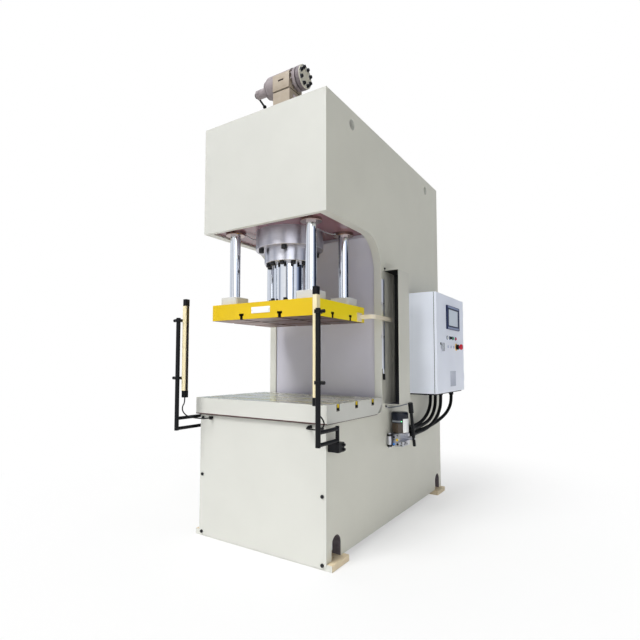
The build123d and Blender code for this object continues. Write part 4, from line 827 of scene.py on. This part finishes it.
def thin_pipe(name, points, diameter, material):
    """A rigid small pipe along a smooth line, made a mesh."""
    select_only(smooth_line(name, points, diameter, round_steps=2, steps=8))
    bpy.ops.object.convert(target="MESH")
    piece = bpy.context.active_object
    bpy.ops.object.shade_smooth_by_angle(angle=math.radians(50))
    finish_piece(piece, material)


# Pieces on the bed

def bed_shadow_strips():
    """The dark red-brown strip along the foot of the bed's front and sides: a painted shadow under the
    bed's overhang.
    """
    low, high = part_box("bed_plate")
    proud, drop, rise = 0.0012, 0.003, 0.004
    flat_rear = high.y - 0.075
    strips = {
        "front": ((low.x, low.y - proud, low.z - drop), (high.x, low.y + 0.004, low.z + rise)),
        "right": ((high.x - 0.004, low.y, low.z - drop), (high.x + proud / 2, flat_rear, low.z)),
        "left": ((low.x - proud / 2, low.y, low.z - drop), (low.x + 0.004, flat_rear, low.z)),
    }
    for name, (start_at, end_at) in strips.items():
        strip = box_between(f"bed_shadow_line_{name}", start_at, end_at)
        finish_piece(strip, shadow_line_paint, edge=0.0008)


# Pieces on the slide and under the head

def slide_front_plate():
    """The bare enamelled plate on the slide's front, with a raised field and two rivets."""
    low, high = (-0.067, SLIDE_FRONT - 0.0022, 1.4425), (0.078, SLIDE_FRONT, 1.4815)
    piece = box_between("slide_front_plate", low, high)
    press_in(piece, (0, -1, 0), 0.003, 0.0006)
    finish_piece(piece, white_enamel, "ram", edge=0.0008)
    for i, x in enumerate((-0.060, 0.071)):
        spot = (x, SLIDE_FRONT - 0.0026, 1.462)
        small_screw(f"slide_front_rivet_{i}", spot, (0, -1, 0), 0.005, 0.0012, zinc, "ram")


def grease_pipes():
    """The thin grease pipes between the bushes, their fittings, and a nipple on the throat wall."""
    level = 2.0065
    knob_x, knob_z = 0.301, 1.948
    # each point is its place in plan and its drop below the level of the fittings
    routes = {
        "left": [
            (-0.262, -0.855, 0), (-0.246, -0.834, 0.004), (-0.262, -0.790, 0.010),
            (-0.256, -0.750, 0.006), (-0.232, -0.720, 0)],
        "right": [
            (0.270, -0.850, 0), (0.252, -0.822, 0.004), (0.246, -0.745, 0.004), (0.244, -0.640, 0.004),
            (0.252, -0.568, 0.004), (0.270, -0.540, 0)],
        "rear": [
            (0.300, -0.414, 0), (0.300, -0.380, 0.006), (0.292, -0.330, 0.016), (0.296, -0.270, 0.036),
            (knob_x, -0.262, 0.058), (knob_x, -0.256, 0.058)],
    }
    for word, points in routes.items():
        route = [Vector((x, y, level - drop)) for x, y, drop in points]
        thin_pipe(f"grease_pipe_{word}", route, 0.006, zinc)
        for i, end in enumerate((route[0], route[-2 if word == "rear" else -1])):
            low, high = end - Vector((0, 0, 0.007)), end + Vector((0, 0, 0.008))
            nut = drum(f"grease_pipe_{word}_nut_{i}", 0.008, low, high, 6)
            finish_piece(nut, zinc, edge=0.001, segments=1)
    low, high = (knob_x, THROAT_Y, knob_z), (knob_x, THROAT_Y - 0.016, knob_z)
    knob = drum("grease_nipple", 0.020, low, high, 28)
    press_in(knob, (0, -1, 0), 0.006, 0.006)
    finish_piece(knob, black_plastic, edge=0.002)


# Pieces on the pump

def cut_across(piece, place, normal):
    """Cuts all the faces of a piece by a plane, and leaves both halves joined."""
    edit_faces(piece, lambda centre, facing: True)
    bpy.ops.mesh.bisect(plane_co=place, plane_no=normal)
    leave_edit_mode()


def pump_front_pad():
    """The machined pad on the front of the pump's block, with a slot milled in it."""
    (low_x, high_x), (left, right, under, over) = PUMP_BLOCK_X, PUMP_SLOT
    low, high = (low_x, PUMP_Y - PUMP_PAD_REACH, 2.882), (high_x, PUMP_Y - 0.069, 2.988)
    pad = box_between("pump_front_pad", low, high)
    for x in (left, right):
        cut_across(pad, (x, 0, 0), (1, 0, 0))
    for z in (under, over):
        cut_across(pad, (0, 0, z), (0, 0, 1))
    edit_faces(
        pad, lambda spot, facing: facing.y < -0.9 and left < spot.x < right and under < spot.z < over)
    extrude((0, 0.006, 0))
    leave_edit_mode()
    finish_piece(pad, cad_materials["pump_body"], edge=0.0015)


def pump_details():
    """A bright washer round each screw of the cap."""
    circle, count, first = 0.057, 8, 22.5
    cap_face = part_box("pump_cap")[1].x
    for i in range(count):
        angle = math.radians(first + i * 360 / count)
        spot = (cap_face, PUMP_Y + circle * math.cos(angle), PUMP_Z + circle * math.sin(angle))
        washer = ring(f"pump_washer_{i}", spot, (1, 0, 0), inner=0.0108, outer=0.0145, thickness=0.002)
        finish_piece(washer, zinc, edge=0.0004, segments=1)


# Pieces beside the position sensor

def sensor_details():
    """Clips on the rail, its connector, the screws in the guard's ears and the pipe at the lower one."""
    toward_side = (1, 0, 0)
    for i, z in enumerate((1.545, 1.315)):
        clip = box_between(f"sensor_clip_{i}", (SIDE_X, -0.272, z - 0.012), (0.4955, -0.2585, z + 0.012))
        press_in(clip, toward_side, 0.003, 0.002)
        finish_piece(clip, machined, edge=0.0012)
        small_screw(f"sensor_clip_screw_{i}", (0.4975, -0.2655, z), toward_side, 0.008, 0.003, oxide)
    plug_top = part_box("sensor_rail")[0].z
    plug_x, plug_y = SIDE_X + 0.009, -0.245
    start_at, end_at = (plug_x, plug_y, plug_top), (plug_x, plug_y, plug_top - 0.038)
    plug = drum("sensor_connector", 0.009, start_at, end_at, 20)
    press_in(plug, (0, 0, -1), 0.002, 0.004)
    finish_piece(plug, black_plastic, edge=0.0012)
    for i, z in enumerate((0.834, 1.801)):
        small_screw(f"guard_screw_{i}", (0.483, -0.209, z), toward_side, 0.015, 0.006, oxide)
    route = [
        (0.487, -0.196, 0.832), (0.487, -0.178, 0.824), (0.485, -0.140, 0.820), (0.485, -0.060, 0.817),
        (0.485, 0.020, 0.816), (0.485, 0.090, 0.818), (0.485, 0.150, 0.820), (0.487, 0.180, 0.820),
    ]
    thin_pipe("grease_line", route, 0.006, line_coat)
    for i, (x, y, z) in enumerate((route[0], route[-1])):
        nut = drum(f"grease_line_nut_{i}", 0.007, (SIDE_X, y, z), (x + 0.005, y, z), 6)
        press_in(nut, toward_side, 0.002, 0.0015)
        finish_piece(nut, zinc, edge=0.0008, segments=1)


# Pieces on the cabinet and its door

def seal_round_door():
    """The rubber seal in the gap between the box and the door, a frame bent from one strip."""
    box_low, box_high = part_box("cabinet_box")
    door_low, door_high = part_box("cabinet_door")
    margin, width, give = 0.002, 0.014, 0.0002
    front_x = DOOR_X - 0.018
    low = (front_x - 0.004 + give, box_low.y + margin, max(box_low.z, door_low.z) + margin)
    high = (front_x - give, box_high.y - margin, min(box_high.z, door_high.z) - margin)
    seal = box_between("door_seal", low, high)
    hollow_through(seal, Vector((1, 0, 0)), width)
    finish_piece(seal, rubber, edge=0.0008)


def door_details():
    """The lock beside the latch, three small bezels and a bare riveted plate lower down."""
    outward = (1, 0, 0)
    lock_at = (DOOR_X, 0.314, 1.284)
    lock = drum("door_lock", 0.0075, lock_at, (DOOR_X + 0.004, *lock_at[1:]), 32)
    press_in(lock, outward, 0.0012, 0.0008)
    press_in(lock, outward, 0.0035, -0.002)
    finish_piece(lock, oxide, "door", edge=0.0005)
    for i, y in enumerate((0.508, 0.591, 0.670)):
        low, high = (DOOR_X, y - 0.0065, 1.256), (DOOR_X + 0.003, y + 0.0065, 1.276)
        bezel = box_between(f"door_marker_{i}", low, high)
        press_in(bezel, outward, 0.002, -0.001)
        finish_piece(bezel, grey_blue_plastic, "door", edge=0.0008)
    plate = box_between("door_lower_plate", (DOOR_X, 0.564, 0.948), (DOOR_X + 0.0015, 0.714, 1.071))
    press_in(plate, outward, 0.004, -0.0005)
    finish_piece(plate, satin_plate, "door", edge=0.0006)
    for i, (y, z) in enumerate(((0.571, 0.955), (0.707, 0.955), (0.571, 1.064), (0.707, 1.064))):
        spot = (DOOR_X + 0.0008, y, z)
        small_screw(f"door_plate_rivet_{i}", spot, outward, 0.005, 0.0016, zinc, "door")


# Pieces on the lubricator

def lubricator_details():
    """The bowl's bare wrap and level band, the lamp, the fittings and the ends of the reservoir."""
    centre = (BOWL_X, BOWL_Y)
    cap_radius = 0.0592
    wrap_heights, band_heights = (0.652, 0.747), (0.723, 0.735)
    wrap = bent_sheet("lubricator_wrap", centre, cap_radius, 0.0008, wrap_heights, angles=(-49, 42))
    finish_piece(wrap, white_enamel)
    band = bent_sheet("lubricator_band", centre, cap_radius, 0.0012, band_heights, angles=(-130, -63))
    finish_piece(band, grey_plastic)
    lamp_angle = math.radians(-58)
    away = Vector((math.cos(lamp_angle), math.sin(lamp_angle), 0))
    lamp_at = Vector((*centre, 0.729)) + away * (cap_radius - 0.0005)
    lamp = drum("lubricator_lamp", 0.0042, lamp_at, lamp_at + away * 0.003, 20)
    finish_piece(lamp, glowing("green_lamp", "#2BE07A", strength=1.2), edge=0.0008)
    block_front = -0.155
    fitting_end = block_front - 0.010
    fittings = (
        ("outlet", (0.557, fitting_end, 0.575), 0.0075, black_plastic),
        ("feed", (0.530, fitting_end, 0.622), 0.0075, black_plastic),
        ("drain", (0.530, fitting_end, 0.575), 0.0075, blue_plastic),
        ("bleed", (0.549, block_front, 0.602), 0.0085, yellow_plastic),
    )
    direction = Vector((0, -1, 0))
    for name, place, radius, collar in fittings:
        place = Vector(place)
        nut = drum(f"lubricator_{name}_nut", radius * 1.2, place, place + direction * 0.008, 6)
        press_in(nut, direction, 0.002, 0.003)
        finish_piece(nut, machined, edge=0.0008, segments=1)
        start_at, end_at = place + direction * 0.011, place + direction * 0.019
        cuff = drum(f"lubricator_{name}_collar", radius, start_at, end_at, 24)
        press_in(cuff, direction, radius * 0.35, -0.004)
        finish_piece(cuff, collar, edge=0.001)
    block_side = 0.588
    plugs = ((0.520, 0.600), (0.545, 0.630), (0.572, 0.566), (0.575, 0.583), (0.516, 0.563))
    for i, (x, z) in enumerate(plugs):
        small_screw(f"manifold_plug_{i}", (x, block_front, z), direction, 0.0095, 0.0012, oxide)
    for i, (y, z) in enumerate(((-0.140, 0.572), (-0.112, 0.580), (-0.084, 0.570))):
        small_screw(f"manifold_port_{i}", (block_side, y, z), (1, 0, 0), 0.0095, 0.0012, oxide)
    for name, z in (("lower", 0.5555), ("upper", 0.6275)):
        end = ring(
            f"reservoir_{name}_collar", (0.500, -0.185, z), (0, 0, 1),
            inner=0.0151, outer=0.0168, thickness=0.014, sides=40)
        finish_piece(end, black_plastic, edge=0.0005, segments=1)


# Pieces on the light curtains

def sensing_windows():
    """The dark windows in the light bars, behind which the beams sit."""
    low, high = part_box("light_bars")
    end_gap, front, rear = 0.002, -1.1765, -1.1595
    for side, word in ((1, "right"), (-1, "left")):
        x0, x1 = sorted((side * (high.x - 0.0300), side * (high.x - 0.0320)))
        start_at, end_at = (x0, front, low.z + end_gap), (x1, rear, high.z - end_gap)
        strip = box_between(f"sensing_window_{word}", start_at, end_at)
        finish_piece(strip, tinted_window, edge=0.0005, segments=1)


make_camera()
make_cords()
dress_cad_nodes()
bed_shadow_strips()
slide_front_plate()
grease_pipes()
pump_front_pad()
pump_details()
sensor_details()
seal_round_door()
door_details()
lubricator_details()
sensing_windows()


# Studio: a pale floor, a white surround and soft lamps

# Dark and pale cloths round the studio for polished steel to mirror, by their angles in degrees from +X
SURROUND = (
    (-180, "#E4E9F2"), (-138, "#F4F6FA"), (-128, "#8F98AA"), (-118, "#F2F5FA"), (-84, "#FFFFFF"),
    (-74, "#525A6C"), (-66, "#ECF2FC"), (-30, "#DCE8F8"), (-12, "#F6F9FF"), (6, "#8E9CB8"),
    (18, "#2C3242"), (66, "#242936"), (82, "#A9B2C4"), (120, "#D8DEE8"), (150, "#7E8797"),
    (165, "#DDE2EA"), (179, "#E4E9F2"),
)


def make_floor():
    """A wide pale floor that fades into the white surround and keeps the press's shadow."""
    deselect()
    bpy.ops.mesh.primitive_circle_add(vertices=96, radius=40, fill_type="NGON", location=(0, 0, -0.0005))
    floor = bpy.context.active_object
    floor.name = "floor"
    material, tree, shader, place = start("pale_floor", "#F4F4F3", 0.85, mirror=0.1)
    reach = add(tree, "VectorMath", {0: place}, operation="LENGTH").outputs["Value"]
    fade = rescale(tree, reach, 0.6, 3.4, low=0.45, interpolation_type="SMOOTHSTEP")
    white = add(tree, "Emission", {"Color": (1, 1, 1, 1), "Strength": 1.0})
    seen = add(tree, "LightPath").outputs
    either = seen["Is Camera Ray"]
    for ray in ("Is Glossy Ray", "Is Transmission Ray"):
        either = calculate(tree, "MAXIMUM", either, seen[ray])
    part = calculate(tree, "MULTIPLY", fade, either)
    mix = add(tree, "MixShader", {0: part, 1: shader, 2: white})
    tree.links.new(mix.outputs[0], tree.nodes["Material Output"].inputs["Surface"])
    floor.data.materials.append(material)


def make_world():
    """A soft even surround: dim where it lights, white where seen, with cloths where metal mirrors it."""
    world = bpy.data.worlds.new("surround")
    bpy.context.scene.world = world
    world.use_nodes = True
    tree = world.node_tree
    light = tree.nodes["Background"]
    light.inputs["Color"].default_value = linear("#EEF1F6")
    light.inputs["Strength"].default_value = 0.23
    ahead = add(tree, "TexCoord").outputs["Generated"]
    parts = add(tree, "SeparateXYZ", {0: ahead}).outputs
    turn = calculate(tree, "ARCTAN2", parts["Y"], parts["X"])
    cloths = add(tree, "ValToRGB", {0: rescale(tree, turn, -math.pi, math.pi)})
    stops = cloths.color_ramp.elements
    stops.remove(stops[1])
    stops[0].color = linear(SURROUND[0][1])
    for degrees, color in SURROUND[1:]:
        stops.new((degrees + 180) / 360).color = linear(color)
    mirrored = add(tree, "Background", {"Color": cloths, "Strength": 1.0})
    white = add(tree, "Background", {"Color": (1, 1, 1, 1), "Strength": 1.0})
    seen = add(tree, "LightPath").outputs
    lit = add(tree, "MixShader", {0: seen["Is Glossy Ray"], 1: light, 2: mirrored})
    either = calculate(tree, "MAXIMUM", seen["Is Camera Ray"], seen["Is Transmission Ray"])
    mix = add(tree, "MixShader", {0: either, 1: lit, 2: white})
    tree.links.new(mix.outputs[0], tree.nodes["World Output"].inputs["Surface"])


def make_lamp(name, side, strength, spread):
    """A soft distant lamp that shines from the given side, with the angle that its disc fills."""
    data = bpy.data.lights.new(name, "SUN")
    data.energy = strength
    data.angle = math.radians(spread)
    lamp = bpy.data.objects.new(name, data)
    bpy.context.scene.collection.objects.link(lamp)
    lamp.location = Vector(side) * 8
    lamp.rotation_euler = Vector(side).to_track_quat("Z", "Y").to_euler()


make_floor()
make_world()
make_lamp("key_lamp", (-0.16, -0.66, 0.72), strength=2.25, spread=25)
make_lamp("fill_lamp", (0.60, -0.70, 0.40), strength=0.58, spread=40)
make_lamp("top_lamp", (-0.05, 0.05, 1.0), strength=0.85, spread=60)
bpy.context.scene.view_settings.view_transform = "Standard"
